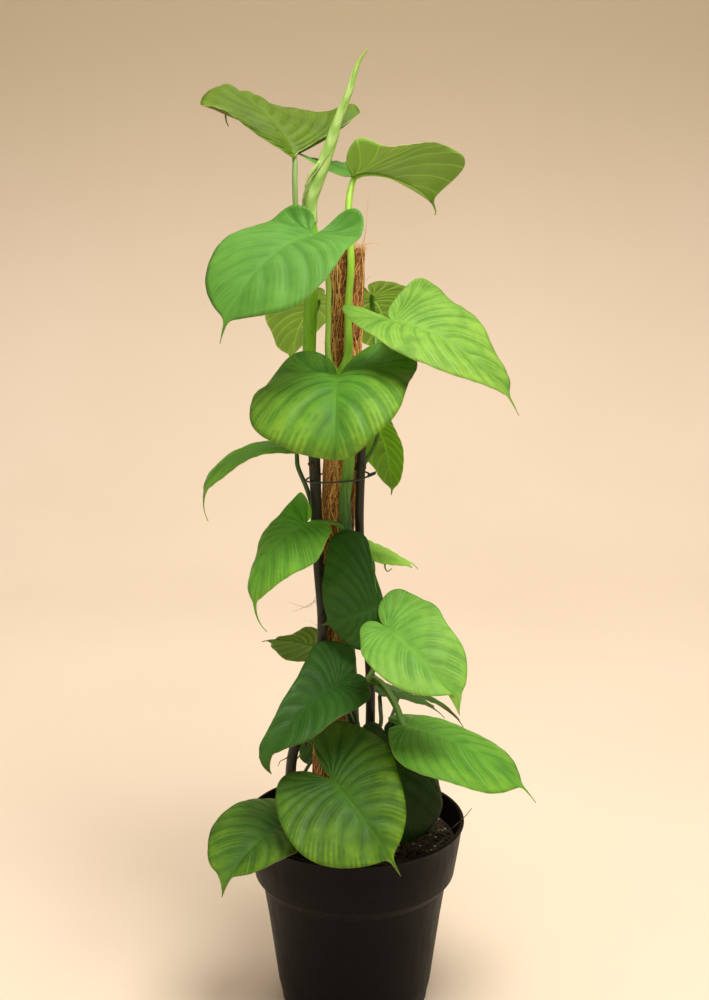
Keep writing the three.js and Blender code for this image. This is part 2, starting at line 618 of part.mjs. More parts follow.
// A straight part of the pole between two heights, with bumps that leave its ends round.
function poleSegment(radius, from, to, sides, steps, rough) {
  const axis = poleAxis();
  const at = (z) => axis.at((z - POLE_FOOT[2]) / (POLE_TOP[2] - POLE_FOOT[2]), new THREE.Vector3());
  const positions = [];
  const index = [];
  for (let i = 0; i <= steps; i++) {
    const z = THREE.MathUtils.lerp(from, to, i / steps);
    const centre = at(z);
    for (let j = 0; j < sides; j++) {
      const angle = (j / sides) * 2 * Math.PI;
      const wave = Math.sin(angle * 3 + z * 0.13) * Math.cos(angle * 5 - z * 0.07);
      const r = radius - rough * (0.5 + 0.5 * wave);
      positions.push(centre.x + r * Math.cos(angle), centre.y + r * Math.sin(angle), z);
    }
  }
  for (let i = 0; i < steps; i++) {
    for (let j = 0; j < sides; j++) {
      const a = i * sides + j;
      const b = i * sides + ((j + 1) % sides);
      index.push(a, b, b + sides, a, b + sides, a + sides);
    }
  }
  for (let j = 1; j < sides - 1; j++) {
    index.push(0, j + 1, j, steps * sides, steps * sides + j, steps * sides + j + 1);
  }
  const geometry = new THREE.BufferGeometry();
  geometry.setAttribute("position", new THREE.Float32BufferAttribute(positions, 3));
  geometry.setIndex(index);
  return solid(geometry);
}

// The tie: a closed ring of thin wire round the pole and the three stems.
function tie() {
  const around = [[-35.5, -5], [-31, -12.5], [-18, -19], [-7, -21], [3, -19], [9.5, -11], [11, -3], [6, 9],
    [-3, 17.5], [-14, 18.5], [-26, 13], [-34, 4]];
  const points = around.map(([x, y]) => vec([x, y, 421 + 0.1 * x]));
  const curve = new THREE.CatmullRomCurve3(points, true, "centripetal");
  const steps = 36;
  const sides = 4;
  const frames = curve.computeFrenetFrames(steps, true);
  const positions = [];
  const index = [];
  for (let i = 0; i < steps; i++) {
    const centre = curve.getPointAt(i / steps);
    for (let j = 0; j < sides; j++) {
      const angle = (j / sides) * 2 * Math.PI;
      const p = centre
        .clone()
        .addScaledVector(frames.normals[i], TIE_RADIUS * Math.cos(angle))
        .addScaledVector(frames.binormals[i], TIE_RADIUS * Math.sin(angle));
      positions.push(p.x, p.y, p.z);
      const a = i * sides + j;
      const b = i * sides + ((j + 1) % sides);
      const c = ((i + 1) % steps) * sides + j;
      const d = ((i + 1) % steps) * sides + ((j + 1) % sides);
      index.push(a, b, d, a, d, c);
    }
  }
  const geometry = new THREE.BufferGeometry();
  geometry.setAttribute("position", new THREE.Float32BufferAttribute(positions, 3));
  geometry.setIndex(index);
  return solid(geometry);
}

// The spear: the rolled new leaf, with the free edge of its sheath.
function spear() {
  const blade = bar(
    [[-30, -10.5, 604], [-30.5, -10, 619], [-22, -10, 644], [-16.3, -10, 660], [-11, -10, 675],
      [-2.7, -10, 696], [2.4, -10, 712], [8.9, -10, 721.6]],
    [4.2, 4.8, 5, 4.4, 3.8, 3.2, 2.6, 1.8, 0.5],
    STEM_SIDES,
    18,
  );
  const sheath = bar([[-24, -13, 646], [-31, -14, 637], [-34.5, -13.5, 629]], [1.4, 1.2, 0.6], 6, 6);
  return solid(blade).add(solid(sheath));
}

const grown = {};
const bodies = {};
for (const [name, { points, radii }] of Object.entries(STEMS)) {
  bodies[name] = solid(bar(points, radii, STEM_SIDES, STEM_STEPS));
  grown[name] = solid(bar(points, radii, STEM_SIDES, STEM_STEPS, CLEARANCE));
}
bodies.pot = pot();
bodies.pole_stake = poleSegment(STAKE_RADIUS, POLE_FOOT[2], POLE_TOP[2] - 3, 16, 1, 0);
const sleeveFoot = SOIL_TOP - 12;
bodies.coir_sleeve = poleSegment(POLE_RADIUS, sleeveFoot, POLE_TOP[2], 16, 18, 0.7).subtract(
  poleSegment(STAKE_RADIUS + CLEARANCE, sleeveFoot - 5, POLE_TOP[2] + 5, 16, 1, 0),
);
const polePocket = poleSegment(STAKE_RADIUS + CLEARANCE, POLE_FOOT[2] - CLEARANCE, SOIL_TOP, 16, 1, 0).add(
  poleSegment(POLE_RADIUS + CLEARANCE, sleeveFoot - CLEARANCE, SOIL_TOP + 20, 18, 1, 0),
);
let ground = soil().subtract(polePocket);
for (const name of Object.keys(STEMS)) ground = ground.subtract(grown[name]);
bodies.soil = largest(ground);
bodies.tie_wire = tie();
for (const [name, spec] of Object.entries(LEAVES)) bodies[name] = leaf(spec, grown);
bodies.spear = largest(spear().subtract(grown.stem_left));

const YOUNG = "#86b62c";
const MIDDLE = "#5b8f2c";
const OLD = "#3c6a28";
const LOOKS = {
  pot: { color: "#1b1b1c", roughness: 0.55 },
  soil: { color: "#2a1f18", roughness: 1 },
  pole_stake: { color: "#8a6a44", roughness: 0.8 },
  coir_sleeve: { color: "#8c5a2e", roughness: 0.95 },
  stem_front: { color: "#4f8a22", roughness: 0.5 },
  stem_left: { color: "#2f3d1c", roughness: 0.5 },
  stem_right: { color: "#2a2f1a", roughness: 0.55 },
  tie_wire: { color: "#30332c", roughness: 0.5 },
  spear: { color: "#a6d15c", roughness: 0.45 },
};
const leafColour = (name) => {
  const number = Number(name.slice(-2));
  if (number <= 5 || number === 7) return YOUNG;
  return number <= 13 || number === 18 ? MIDDLE : OLD;
};

const group = new THREE.Group();
for (const [name, body] of Object.entries(bodies)) {
  const look = LOOKS[name] ?? { color: leafColour(name), roughness: 0.45 };
  const mesh = new THREE.Mesh(geometryOf(body), new THREE.MeshStandardMaterial({ metalness: 0, ...look }));
  mesh.name = name;
  group.add(mesh);
}
export default group;
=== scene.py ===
import json
import math

import bpy
import numpy as np
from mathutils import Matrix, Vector


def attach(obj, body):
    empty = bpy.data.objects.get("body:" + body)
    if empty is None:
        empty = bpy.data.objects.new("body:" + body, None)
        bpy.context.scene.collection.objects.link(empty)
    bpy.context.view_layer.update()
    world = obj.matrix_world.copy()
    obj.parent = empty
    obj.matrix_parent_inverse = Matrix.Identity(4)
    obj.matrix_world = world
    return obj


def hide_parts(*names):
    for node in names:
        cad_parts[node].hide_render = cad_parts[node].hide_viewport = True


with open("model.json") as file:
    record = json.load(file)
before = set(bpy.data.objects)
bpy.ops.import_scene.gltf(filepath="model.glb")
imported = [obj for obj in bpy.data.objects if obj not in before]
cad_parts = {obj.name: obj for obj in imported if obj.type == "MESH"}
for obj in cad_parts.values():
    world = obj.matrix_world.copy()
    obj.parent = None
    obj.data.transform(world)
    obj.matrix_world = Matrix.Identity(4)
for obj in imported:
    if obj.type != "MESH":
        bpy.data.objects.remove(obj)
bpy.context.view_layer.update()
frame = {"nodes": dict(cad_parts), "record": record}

# A climbing philodendron tied to a coir pole in a round nursery pot.
# The growth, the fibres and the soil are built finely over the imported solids, from the same dimensions.
# Lengths are millimetres in the frame of the model, +Z up, with the front towards -Y.
MM = 0.001
TURN = 2 * math.pi
rng = np.random.default_rng(11)

# The pot and the soil in it.
RIM_RADIUS = 85
POT_HEIGHT = 150
COLLAR_FOOT_Z = 107
COLLAR_FOOT_RADIUS = 77.5
COLLAR_TOP_RADIUS = 81.5
COLLAR_TOP_Z = 132
BODY_TOP_RADIUS = 71.5
BODY_TOP_Z = 100
BODY = [(60, 17), (67.3, 73)]  # radius and height of two places on the tapered body
BASE_RADIUS = 57
WALL = 1.8
FLOOR = 3
DRAIN_COUNT = 6
DRAIN_RADIUS = 4
DRAIN_CIRCLE = 38
SOIL_TOP = 131
SOIL_BUMP = 2.2
SOIL_RADIUS = 78.6
# The pole: a stake in a sleeve of coir.
POLE_RADIUS = 12.5
STAKE_RADIUS = 7.5
POLE_FOOT = np.array([-27, 4, 8.0])
POLE_TOP = np.array([-4.5, 4, 586.0])
SLEEVE_FOOT = 119
TIE_RADIUS = 0.7
TIE_Z = 421


def unit(v):
    v = np.asarray(v, float)
    return v / np.linalg.norm(v, axis=-1, keepdims=True)


def smooth(x, low, high):
    t = np.clip((x - low) / (high - low), 0, 1)
    return t * t * (3 - 2 * t)


class Shape:
    """Gathers points in millimetres, faces with the number of their look, and values that the looks read."""

    def __init__(self):
        self.points = []
        self.faces = []
        self.looks = []
        self.values = []
        self.count = 0

    def add(self, points, faces, look=0, **values):
        points = np.asarray(points, float)
        self.faces += [[i + self.count for i in face] for face in faces]
        self.looks += [look] * len(faces)
        self.values.append((self.count, len(points), values))
        self.points.append(points)
        self.count += len(points)

    def build(self, name, materials, slot, node=None):
        mesh = bpy.data.meshes.new(name)
        mesh.from_pydata((np.vstack(self.points) * MM).tolist(), [], self.faces)
        for material in materials:
            mesh.materials.append(material)
        mesh.polygons.foreach_set("material_index", self.looks)
        mesh.polygons.foreach_set("use_smooth", [True] * len(self.faces))
        for key in sorted({key for _, _, values in self.values for key in values}):
            whole = np.zeros(self.count)
            for start, number, values in self.values:
                whole[start : start + number] = values.get(key, 0)
            mesh.attributes.new(key, "FLOAT", "POINT").data.foreach_set("value", whole)
        mesh.update()
        piece = bpy.data.objects.new(name, mesh)
        bpy.context.scene.collection.objects.link(piece)
        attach(piece, "root")
        if node:
            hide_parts(node)
        return piece


def catmull_rom(points, closed=False, fine=40):
    """A centripetal curve through the points, closely spaced."""
    p = np.array(points, float)
    if closed:
        p = np.vstack([p[-1:], p, p[:2]])
    else:
        p = np.vstack([2 * p[:1] - p[1:2], p, 2 * p[-1:] - p[-2:-1]])
    t = np.linspace(0, 1, fine, endpoint=False)[:, None]
    line = []
    for a, b, c, d in zip(p[:-3], p[1:-2], p[2:-1], p[3:]):
        t0, t1, t2 = (max(np.linalg.norm(w - v) ** 0.5, 1e-4) for v, w in ((a, b), (b, c), (c, d)))
        m1 = t1 * ((b - a) / t0 - (c - a) / (t0 + t1) + (c - b) / t1)
        m2 = t1 * ((c - b) / t1 - (d - b) / (t1 + t2) + (d - c) / t2)
        line.append(b + m1 * t + (3 * (c - b) - 2 * m1 - m2) * t**2 + (2 * (b - c) + m1 + m2) * t**3)
    line.append(p[-2:-1])
    return np.vstack(line)


def run_of(line):
    return np.concatenate([[0], np.cumsum(np.linalg.norm(np.diff(line, axis=0), axis=1))])


def spaced(line, count):
    """The line again, as evenly spaced points."""
    run = run_of(line)
    want = np.linspace(0, run[-1], count)
    return np.stack([np.interp(want, run, line[:, i]) for i in range(3)], axis=1)


def spread(values, count):
    """A list of values laid evenly along a line of points."""
    return np.interp(np.linspace(0, 1, count), np.linspace(0, 1, len(values)), values)


def angles(count):
    """Evenly spaced angles round a circle."""
    return np.arange(count) * TURN / count


def outward(turn, rise=0.0):
    """The level direction at an angle, with a rise added to it."""
    turn = np.asarray(turn, float)
    return np.stack([np.cos(turn), np.sin(turn), np.zeros_like(turn) + rise], axis=-1)


def turned_frames(path, first):
    """Two directions across a path at each of its points, turning with it as little as they can."""
    ahead = unit(np.gradient(path, axis=0))
    side = np.array(first, float)
    if abs(side @ ahead[0]) > 0.95:
        side = np.array([0.1, -1.0, 0])
    sides = []
    for a in ahead:
        side = unit(side - (side @ a) * a)
        sides.append(side)
    sides = np.array(sides)
    return sides, np.cross(ahead, sides)


def ring_faces(rings, sides, closed=False):
    """Quads between rings of points, and between the last and the first where the line is closed."""
    i = np.arange(rings if closed else rings - 1)[:, None]
    j = np.arange(sides)[None, :]
    k = (j + 1) % sides
    n = (i + 1) % rings * sides
    return np.stack([i * sides + j, i * sides + k, n + k, n + j], axis=-1).reshape(-1, 4).tolist()


def cap_faces(rings, sides):
    """Fans that close both ends of a line of rings, round two middle points that come after the rings."""
    middle = rings * sides
    last = middle - sides
    faces = []
    for j in range(sides):
        k = (j + 1) % sides
        faces += [[middle, k, j], [middle + 1, last + j, last + k]]
    return faces


def tube(shape, path, radii, sides, look=0, form=None, first=(0, 0, 1), closed=False, **values):
    """A bar along a path. form gives a share of the radius from the angle and the place along it."""
    path = np.asarray(path, float)
    rings = len(path)
    u, v = turned_frames(path, first)
    angle = angles(sides)
    r = spread(radii, rings)[:, None] * np.ones((rings, sides))
    if form:
        r = r * form(angle[None, :], np.linspace(0, 1, rings)[:, None])
    points = path[:, None] + (r * np.cos(angle))[..., None] * u[:, None]
    points = (points + (r * np.sin(angle))[..., None] * v[:, None]).reshape(-1, 3)
    run = np.repeat(run_of(path), sides)
    turn = np.tile(np.cos(angle), rings)
    faces = ring_faces(rings, sides, closed)
    if not closed:
        points = np.vstack([points, path[:1], path[-1:]])
        run = np.append(run, [run[0], run[-1]])
        turn = np.append(turn, [0, 0])
        faces += cap_faces(rings, sides)
    shape.add(points, faces, look, run=run, turn=turn, **values)


def lumps(x, y, count, short, long, seed):
    """A smooth uneven height field from many waves in all directions, about 1 high."""
    waves = np.random.default_rng(seed)
    total = np.zeros(np.broadcast(x, y).shape)
    for _ in range(count):
        direction, phase = waves.uniform(0, TURN, 2)
        rate = TURN / waves.uniform(short, long)
        total += np.sin(rate * (x * math.cos(direction) + y * math.sin(direction)) + phase)
    return total / math.sqrt(count)


def bezier(a, b, c, d, steps):
    """A cubic curve from a to d, drawn towards b and c."""
    t = np.linspace(0, 1, steps + 1)[:, None]
    a, b, c, d = (np.array(p, float) for p in (a, b, c, d))
    return (1 - t) ** 3 * a + 3 * (1 - t) ** 2 * t * b + 3 * (1 - t) * t * t * c + t**3 * d


def half_outline(form, hand):
    """Half of a heart-shaped leaf laid flat, from the notch round the lobe and the side to the drip tip."""
    length, drip = form.length, form.drip
    full, width, lobe = form.full[hand], form.width[hand], form.lobe[hand]
    heel = form.heel[hand] * width
    blade = length - drip
    widest = form.wide[hand] * blade
    rest = blade - widest
    shoulder = widest - 0.55 * (widest + 0.25 * lobe)
    cheek = (widest + 0.74 * rest, 0.74 * width * full)
    taper = (widest + 0.93 * rest, 0.24 * width)
    throat = (blade - 0.1 * drip, 0.05 * width + 0.5)
    neck = (blade + 0.2 * drip, 0.018 * width + 0.5)
    point = (length, 0)
    pieces = [
        bezier((0, 0), (-0.62 * lobe, form.notch[hand] * width), (-lobe, 0.29 * heel), (-lobe, heel), 30),
        bezier((-lobe, heel), (-lobe, 1.9 * heel), (shoulder, width), (widest, width), 30),
        bezier((widest, width), (widest + 0.4 * rest, width), cheek, taper, 40),
        bezier(taper, (widest + 0.975 * rest, 0.12 * width), throat, neck, 20),
        bezier(neck, (blade + 0.45 * drip, 0.012 * width + 0.4), (length - 0.2 * drip, 0.35), point, 12),
    ]
    line = np.vstack([pieces[0], *(piece[1:] for piece in pieces[1:])])
    run = run_of(line)
    return lambda share: [np.interp(share * run[-1], run, line[:, i]) for i in range(2)]


LEAF_DEFAULTS = dict(
    width=(45, 45),  # of the left and the right half, seen from above with the tip ahead
    lobe=(26, 26),  # how far each lobe reaches behind the petiole
    wide=(0.34, 0.34),  # where each half is widest, as a share of the blade
    heel=(0.42, 0.42),  # how wide each half already is at the end of its lobe
    notch=(0, 0),  # how far the notch opens, as a share of the width
    full=(1, 1),  # how full each half stays towards its tip
    drip=16,  # length of the drip tip
    arch=20,  # how many degrees the midrib arches
    tip_bend=10,  # how many degrees its end bends down
    lift=(12, 12),  # how many degrees each half rises from the midrib
    cup=(-20, -20),  # how many degrees it curls on its way to the margin, up or, below zero, down
    lobe_bend=(0, 0),  # how many degrees its lobe curls down
    margin=(),  # where the margin is drawn out: the hand, the share of the outline, the move in x and z
    spine=(),  # where the whole blade is moved: the share of the midrib, the move in x and z
    radius=2,  # of the petiole
    crowding=3.6,  # how much the side veins crowd towards the petiole
)
MARGIN_REACH = 0.11  # how far along the outline a drawn place takes the rest with it
SPINE_REACH = 0.22  # the same along the midrib
TIP_START = 0.72  # share of the midrib where its end begins to bend
TIP_HOLD = 12  # how fast the drawn places let go near the drip tip


def near(share, at, reach):
    return np.exp(-(((share - at) / reach) ** 2))


class LeafForm:
    """How a leaf lies in space: its midrib arches from base to tip, and its halves lift, cup and bend."""

    STEPS = 200

    def __init__(self, spec):
        for key, value in {**LEAF_DEFAULTS, **spec}.items():
            setattr(self, key, value)
        self.base = np.array(self.base, float)
        chord = np.array(self.tip, float) - self.base
        middles = (np.arange(self.STEPS) + 0.5) / self.STEPS
        angle = self.slope(middles)
        self.shares = np.linspace(0, 1, self.STEPS + 1)
        self.run_x = np.concatenate([[0], np.cumsum(np.cos(angle)) / self.STEPS])
        self.run_z = np.concatenate([[0], np.cumsum(np.sin(angle)) / self.STEPS])
        x, z = self.run_x[-1], self.run_z[-1]
        self.length = np.linalg.norm(chord) / math.hypot(x, z)
        lead = math.atan2(z, x)
        ahead = unit(chord)
        face = np.array(self.face, float)
        up = unit(face - (face @ ahead) * ahead)
        self.side = np.cross(up, ahead)
        self.forward = math.cos(lead) * ahead - math.sin(lead) * up
        self.normal = math.cos(lead) * up + math.sin(lead) * ahead

    def slope(self, share):
        """The midrib's angle above the chord's frame at a share of its length."""
        end = np.clip((share - TIP_START) / (1 - TIP_START), 0, 1) ** 1.5
        return math.radians(self.arch) * (1 - 2 * share) - math.radians(self.tip_bend) * end

    def place(self, u, v, hand, lifted=0.0):
        """The place of flat points: u along the midrib, v out from it, on hand 0 (left) or 1 (right)."""
        u = np.asarray(u, float)
        share = np.clip(u / self.length, 0, 1)
        x = self.length * np.interp(share, self.shares, self.run_x)
        z = self.length * np.interp(share, self.shares, self.run_z)
        slope = self.slope(share)
        back = np.maximum(-u, 0)
        turned = math.radians(self.lobe_bend[hand]) * back / self.lobe[hand]
        x = x - back * np.cos(slope - turned / 2)
        z = z - back * np.sin(slope - turned / 2)
        slope = slope - turned
        width = self.width[hand]
        lift = math.radians(self.lift[hand])
        cup = math.radians(self.cup[hand]) + 1e-6
        bend = lift + cup * v / width
        across = width / cup * (np.sin(bend) - math.sin(lift))
        raised = lifted - width / cup * (np.cos(bend) - math.cos(lift))
        x = (x - raised * np.sin(slope))[..., None]
        z = (z + raised * np.cos(slope))[..., None]
        across = (-across if hand else across)[..., None]
        points = self.base + x * self.forward + z * self.normal + across * self.side
        for at, x, z in self.spine:
            points = points + near(share, at, SPINE_REACH)[..., None] * np.array([x, 0, z])
        return points

    def drawn(self, k, w, hand):
        """How far the margin's drawn places move a point of a half, at its row's and its column's share."""
        moved = np.zeros((*np.broadcast(k, w).shape, 3))
        pull = w**1.5 * np.minimum(1, (1 - k) * TIP_HOLD)
        for side, at, x, z in self.margin:
            if side == hand:
                moved += (pull * near(k, at, MARGIN_REACH))[..., None] * np.array([x, 0, z])
        return moved


# Each leaf: its blade's base and tip, the way it faces, its form, and its petiole's stem, height and path.
LEAVES = {
    "leaf_01": dict(
        base=(-41.5, 3, 650.5), tip=(-95, 73, 668.5), face=(0.2, -0.3, 0.9), width=(36, 50),
        lobe=(3, 2), heel=(0.12, 0.1), wide=(0.55, 0.06), full=(0.9, 0.8), arch=34, tip_bend=150,
        lift=(8, 8), cup=(-10, -10), spine=[(0.78, 3, 7)],
        margin=[
            (1, 0.1, 0, 6), (1, 0.2, 3, 8), (1, 0.32, 6, 19), (1, 0.6, 0, -4), (1, 0.72, 0, -9),
            (0, 0.6, -4, -5), (0, 0.72, -2, -4), (0, 0.88, 4, 7),
        ],
        stem="stem_left", node=588, via=[(-40, -6, 606), (-42, -3, 630)],
    ),
    "leaf_02": dict(
        base=(-2, 11, 636), tip=(61.5, 84, 605.5), face=(-0.1, 0.8, 0.6), width=(42, 46), lobe=(26, 20),
        wide=(0.34, 0.7), full=(1.5, 1.5), arch=24, tip_bend=130, lift=(60, -10), cup=(-20, 10),
        lobe_bend=(20, 90),
        margin=[(1, 0.15, 4, 5), (1, 0.4, 2, -1), (1, 0.75, 3, -2), (0, 0.25, -6, 9)], radius=2.6,
        stem="stem_front", node=495,
        via=[(-5, -16.5, 509), (-4.5, -15.5, 547), (-2.5, -14.5, 572), (-3, -10, 592), (-4, -1, 618)],
    ),
    "leaf_03": dict(
        base=(-28, -44, 598), tip=(-88.5, -100, 530), face=(-0.25, -0.55, 0.8), width=(50, 52),
        lobe=(26, 20), notch=(0, 0.2), arch=34, lift=(10, 5), lobe_bend=(75, 70),
        margin=[
            (0, 0.22, -1, 4), (0, 0.4, -7, 1), (0, 0.7, 3, -7), (1, 0.62, 2, 0), (1, 0.2, -4, 2),
            (1, 0.4, 0, 1),
        ],
        stem="stem_front", node=493, via=[(-18, -19, 508), (-18.5, -18, 540), (-19, -21, 568)],
    ),
    "leaf_04": dict(
        base=(27, -40, 539), tip=(112, -75, 478), face=(0.2, -0.5, 0.8), width=(48, 46), lobe=(12, 26),
        heel=(0.6, 0.42), wide=(0.28, 0.34), full=(0.75, 0.9), arch=28, lift=(5, 30),
        lobe_bend=(45, 25),
        margin=[
            (0, 0.25, 6, 10), (0, 0.5, -4, 3), (0, 0.7, -6, -3), (1, 0.22, -5, 2), (1, 0.48, 2, -9),
            (1, 0.62, 2, -5),
        ],
        stem="stem_right", node=495, via=[(16, -9, 513), (21, -17, 528)],
    ),
    "leaf_05": dict(
        base=(-12, -45, 501), tip=(-13, -92, 453), face=(0, -0.75, 0.65), width=(54, 62),
        lobe=(32, 34), wide=(0.3, 0.46), full=(1, 1.2), drip=10, arch=52, tip_bend=120, lift=(20, 8),
        cup=(-44, -44), lobe_bend=(45, 80), crowding=5,
        margin=[(0, 0.2, 8, 7), (0, 0.35, 10, 9), (0, 0.6, -4, 5), (0, 0.8, -2, 4), (1, 0.2, 2, -4)],
        stem="stem_front", node=462, via=[(-8, -26, 474), (-11, -37, 488)],
    ),
    "leaf_06": dict(
        base=(-27, 38, 546), tip=(-50, 84, 483), face=(-0.4, 0.7, 0.5), width=(34, 26), arch=30,
        margin=[(0, 0.7, 7, 0)], stem="stem_left", node=482, via=[(-36, 8, 500), (-32, 26, 528)],
    ),
    "leaf_07": dict(
        base=(13, 34, 550), tip=(27, 72, 490), face=(0.3, 0.7, 0.5), width=(21, 38), lobe=(14, 26),
        arch=30, margin=[(0, 0.6, -8, 0), (0, 0.78, -13, -2)], stem="stem_right", node=478,
        via=[(15, 3, 496), (15, 20, 525)],
    ),
    "leaf_08": dict(
        base=(-43, 10, 438), tip=(-107, -5, 387), face=(-0.4, 0, 0.9), width=(32, 34), lobe=(8, 10),
        arch=54, tip_bend=20, lift=(8, 8), cup=(-20, -15), spine=[(0.8, -3, 0)], radius=1.7,
        stem="stem_left", node=388, via=[(-35, 0, 410), (-42, 7, 426)],
    ),
    "leaf_09": dict(
        base=(16, 18, 459), tip=(28, 28, 399), face=(0.5, 0.8, 0.3), width=(36, 14), lobe=(18, 18),
        drip=5, arch=20, margin=[(0, 0.72, 8, 0), (0, 0.9, 2, 0), (1, 0.9, 1, 0)], radius=1.6,
        stem="stem_right", node=428, via=[(14, 4, 440), (17, 11, 450)],
    ),
    "leaf_10": dict(
        base=(-35.5, -34, 392.5), tip=(-62, -69, 322), face=(-0.75, -0.35, 0.55), width=(38, 34),
        lobe=(18, 30), wide=(0.28, 0.1), drip=24, arch=48, tip_bend=30, lift=(-5, 10),
        lobe_bend=(0, 110),
        margin=[
            (1, 0.1, -8, -3), (1, 0.2, 3, -4), (1, 0.35, -9, 4), (1, 0.65, 8, 0), (0, 0.17, -10, -2),
            (0, 0.5, 5, -4),
        ],
        radius=1.5, stem="stem_front", node=385, via=[(-17, -26, 391), (-28, -33, 393)],
    ),
    "leaf_11": dict(
        base=(9, 26, 358), tip=(50, 50, 335), face=(0, -0.25, 1), width=(28, 26), lobe=(12, 12),
        arch=15, cup=(-20, -25),
        margin=[(0, 0.5, 0, -5), (0, 0.65, 0, -6), (0, 0.78, 0, -3), (1, 0.78, 3, -4)], radius=1.5,
        stem="stem_right", node=328, via=[(14, 8, 342), (13, 18, 352)],
    ),
    "leaf_12": dict(
        base=(20.5, -42.5, 334), tip=(-24.5, -29, 314), face=(-0.25, -0.9, 0), width=(32, 64),
        lobe=(3, 3), wide=(0.3, 0.48), drip=8, arch=15, lift=(12, 0), cup=(-40, -30),
        margin=[(1, 0.35, 7, 2), (1, 0.47, 6, 0), (1, 0.65, 4, 0)], stem="stem_right", node=300,
        via=[(16, -14, 312), (21, -32, 326)],
    ),
    "leaf_13": dict(
        base=(22.5, -64, 324), tip=(73, -104, 272.5), face=(0.1, -0.7, 0.7), width=(40, 33),
        lobe=(22, 14), arch=33, lobe_bend=(20, 20),
        margin=[(0, 0.2, 3, 4), (0, 0.58, -9, 0), (0, 0.9, 6, 0), (1, 0.25, 5, 0), (1, 0.9, 4, 2)],
        stem="stem_front", node=254, via=[(12, -28, 276), (21, -50, 304)],
    ),
    "leaf_14": dict(
        base=(-26, 36, 275), tip=(-72, 28, 283), face=(0, 0.75, 0.6), width=(31, 27), lobe=(10, 12),
        arch=15,
        margin=[
            (0, 0.45, 0, -6), (0, 0.65, 0, -7), (0, 0.8, -6, -1), (1, 0.62, -4, -2), (1, 0.8, -8, -3),
        ],
        radius=1.6, stem="stem_left", node=222, via=[(-44, 10, 244), (-33, 28, 264)],
    ),
    "leaf_15": dict(
        base=(-11, -45, 275), tip=(-59, -85, 221), face=(-0.25, -0.45, 0.8), width=(32, 40),
        lobe=(26, 30), wide=(0.3, 0.05), full=(0.75, 0.75), arch=28, tip_bend=70, lift=(5, 40),
        lobe_bend=(0, 40),
        margin=[
            (1, 0.5, 9, -2), (1, 0.63, 13, -2), (1, 0.78, 8, -1), (1, 0.92, -8, 0), (0, 0.2, -10, 0),
            (0, 0.6, -3, 4), (0, 0.85, 0, 3),
        ],
        stem="stem_front", node=232, via=[(-5, -32, 250), (-8, -40, 264)],
    ),
    "leaf_16": dict(
        base=(20.5, 25, 242), tip=(72.5, 54, 210), face=(0, 0, 1), width=(28, 18), lobe=(8, 5), arch=15,
        radius=1.6, stem="stem_right", node=212, via=[(20, 8, 222), (20, 18, 234)],
    ),
    "leaf_17": dict(
        base=(40, 78, 226), tip=(91, 98, 185), face=(0, 0, 1), width=(16, 16), lobe=(10, 10), drip=8,
        arch=15, radius=1.4, stem="stem_right", node=180, via=[(18, 20, 190), (30, 54, 212)],
    ),
    "leaf_18": dict(
        base=(38, -40, 240), tip=(131, -75, 195), face=(0.1, -0.2, 0.95), width=(43, 50), lobe=(20, 12),
        arch=22, lift=(-8, 8), margin=[(1, 0.2, 8, 3), (1, 0.75, 0, -2)], radius=2.6, stem="stem_right",
        node=262, via=[(20, -10, 262), (30, -26, 252)],
    ),
    "leaf_19": dict(
        base=(23, -20, 227), tip=(38, -45, 146), face=(0.7, -0.6, 0.3), width=(40, 38), lobe=(8, 10),
        drip=3, arch=20, margin=[(0, 0.75, 5, 0), (0, 0.9, 4, 0), (1, 0.85, -4, 0)], stem="stem_right",
        node=190, via=[(18, -6, 206), (22, -14, 222)],
    ),
    "leaf_20": dict(
        base=(-17, -72, 212), tip=(33, -112, 155), face=(0, -0.7, 0.7), width=(46, 52), lobe=(38, 24),
        wide=(0.05, 0.36), arch=25, lobe_bend=(45, 30),
        margin=[(0, 0.4, 6, 0), (0, 0.65, -3, 0), (1, 0.1, 0, -6)], stem="stem_front", node=160,
        via=[(-6, -38, 176), (-12, -58, 198)],
    ),
    "leaf_21": dict(
        base=(-49, -52, 169), tip=(-95, -100, 133), face=(-0.4, -0.5, 0.8), width=(37, 47), arch=32,
        margin=[(0, 0.7, 0, 3), (1, 0.88, -7, 0), (1, 0.6, 0, -2)], stem="stem_left", node=146,
        via=[(-48, -26, 156), (-49, -40, 163)],
    ),
    "leaf_22": dict(
        base=(-23.5, 34, 198.5), tip=(-46.5, 40, 180), face=(-0.3, -0.5, 0.8), width=(18, 16),
        lobe=(8, 8), drip=6, arch=20, radius=1.3, stem="stem_left", node=160,
        via=[(-42, 8, 176), (-30, 24, 192)],
    ),
}

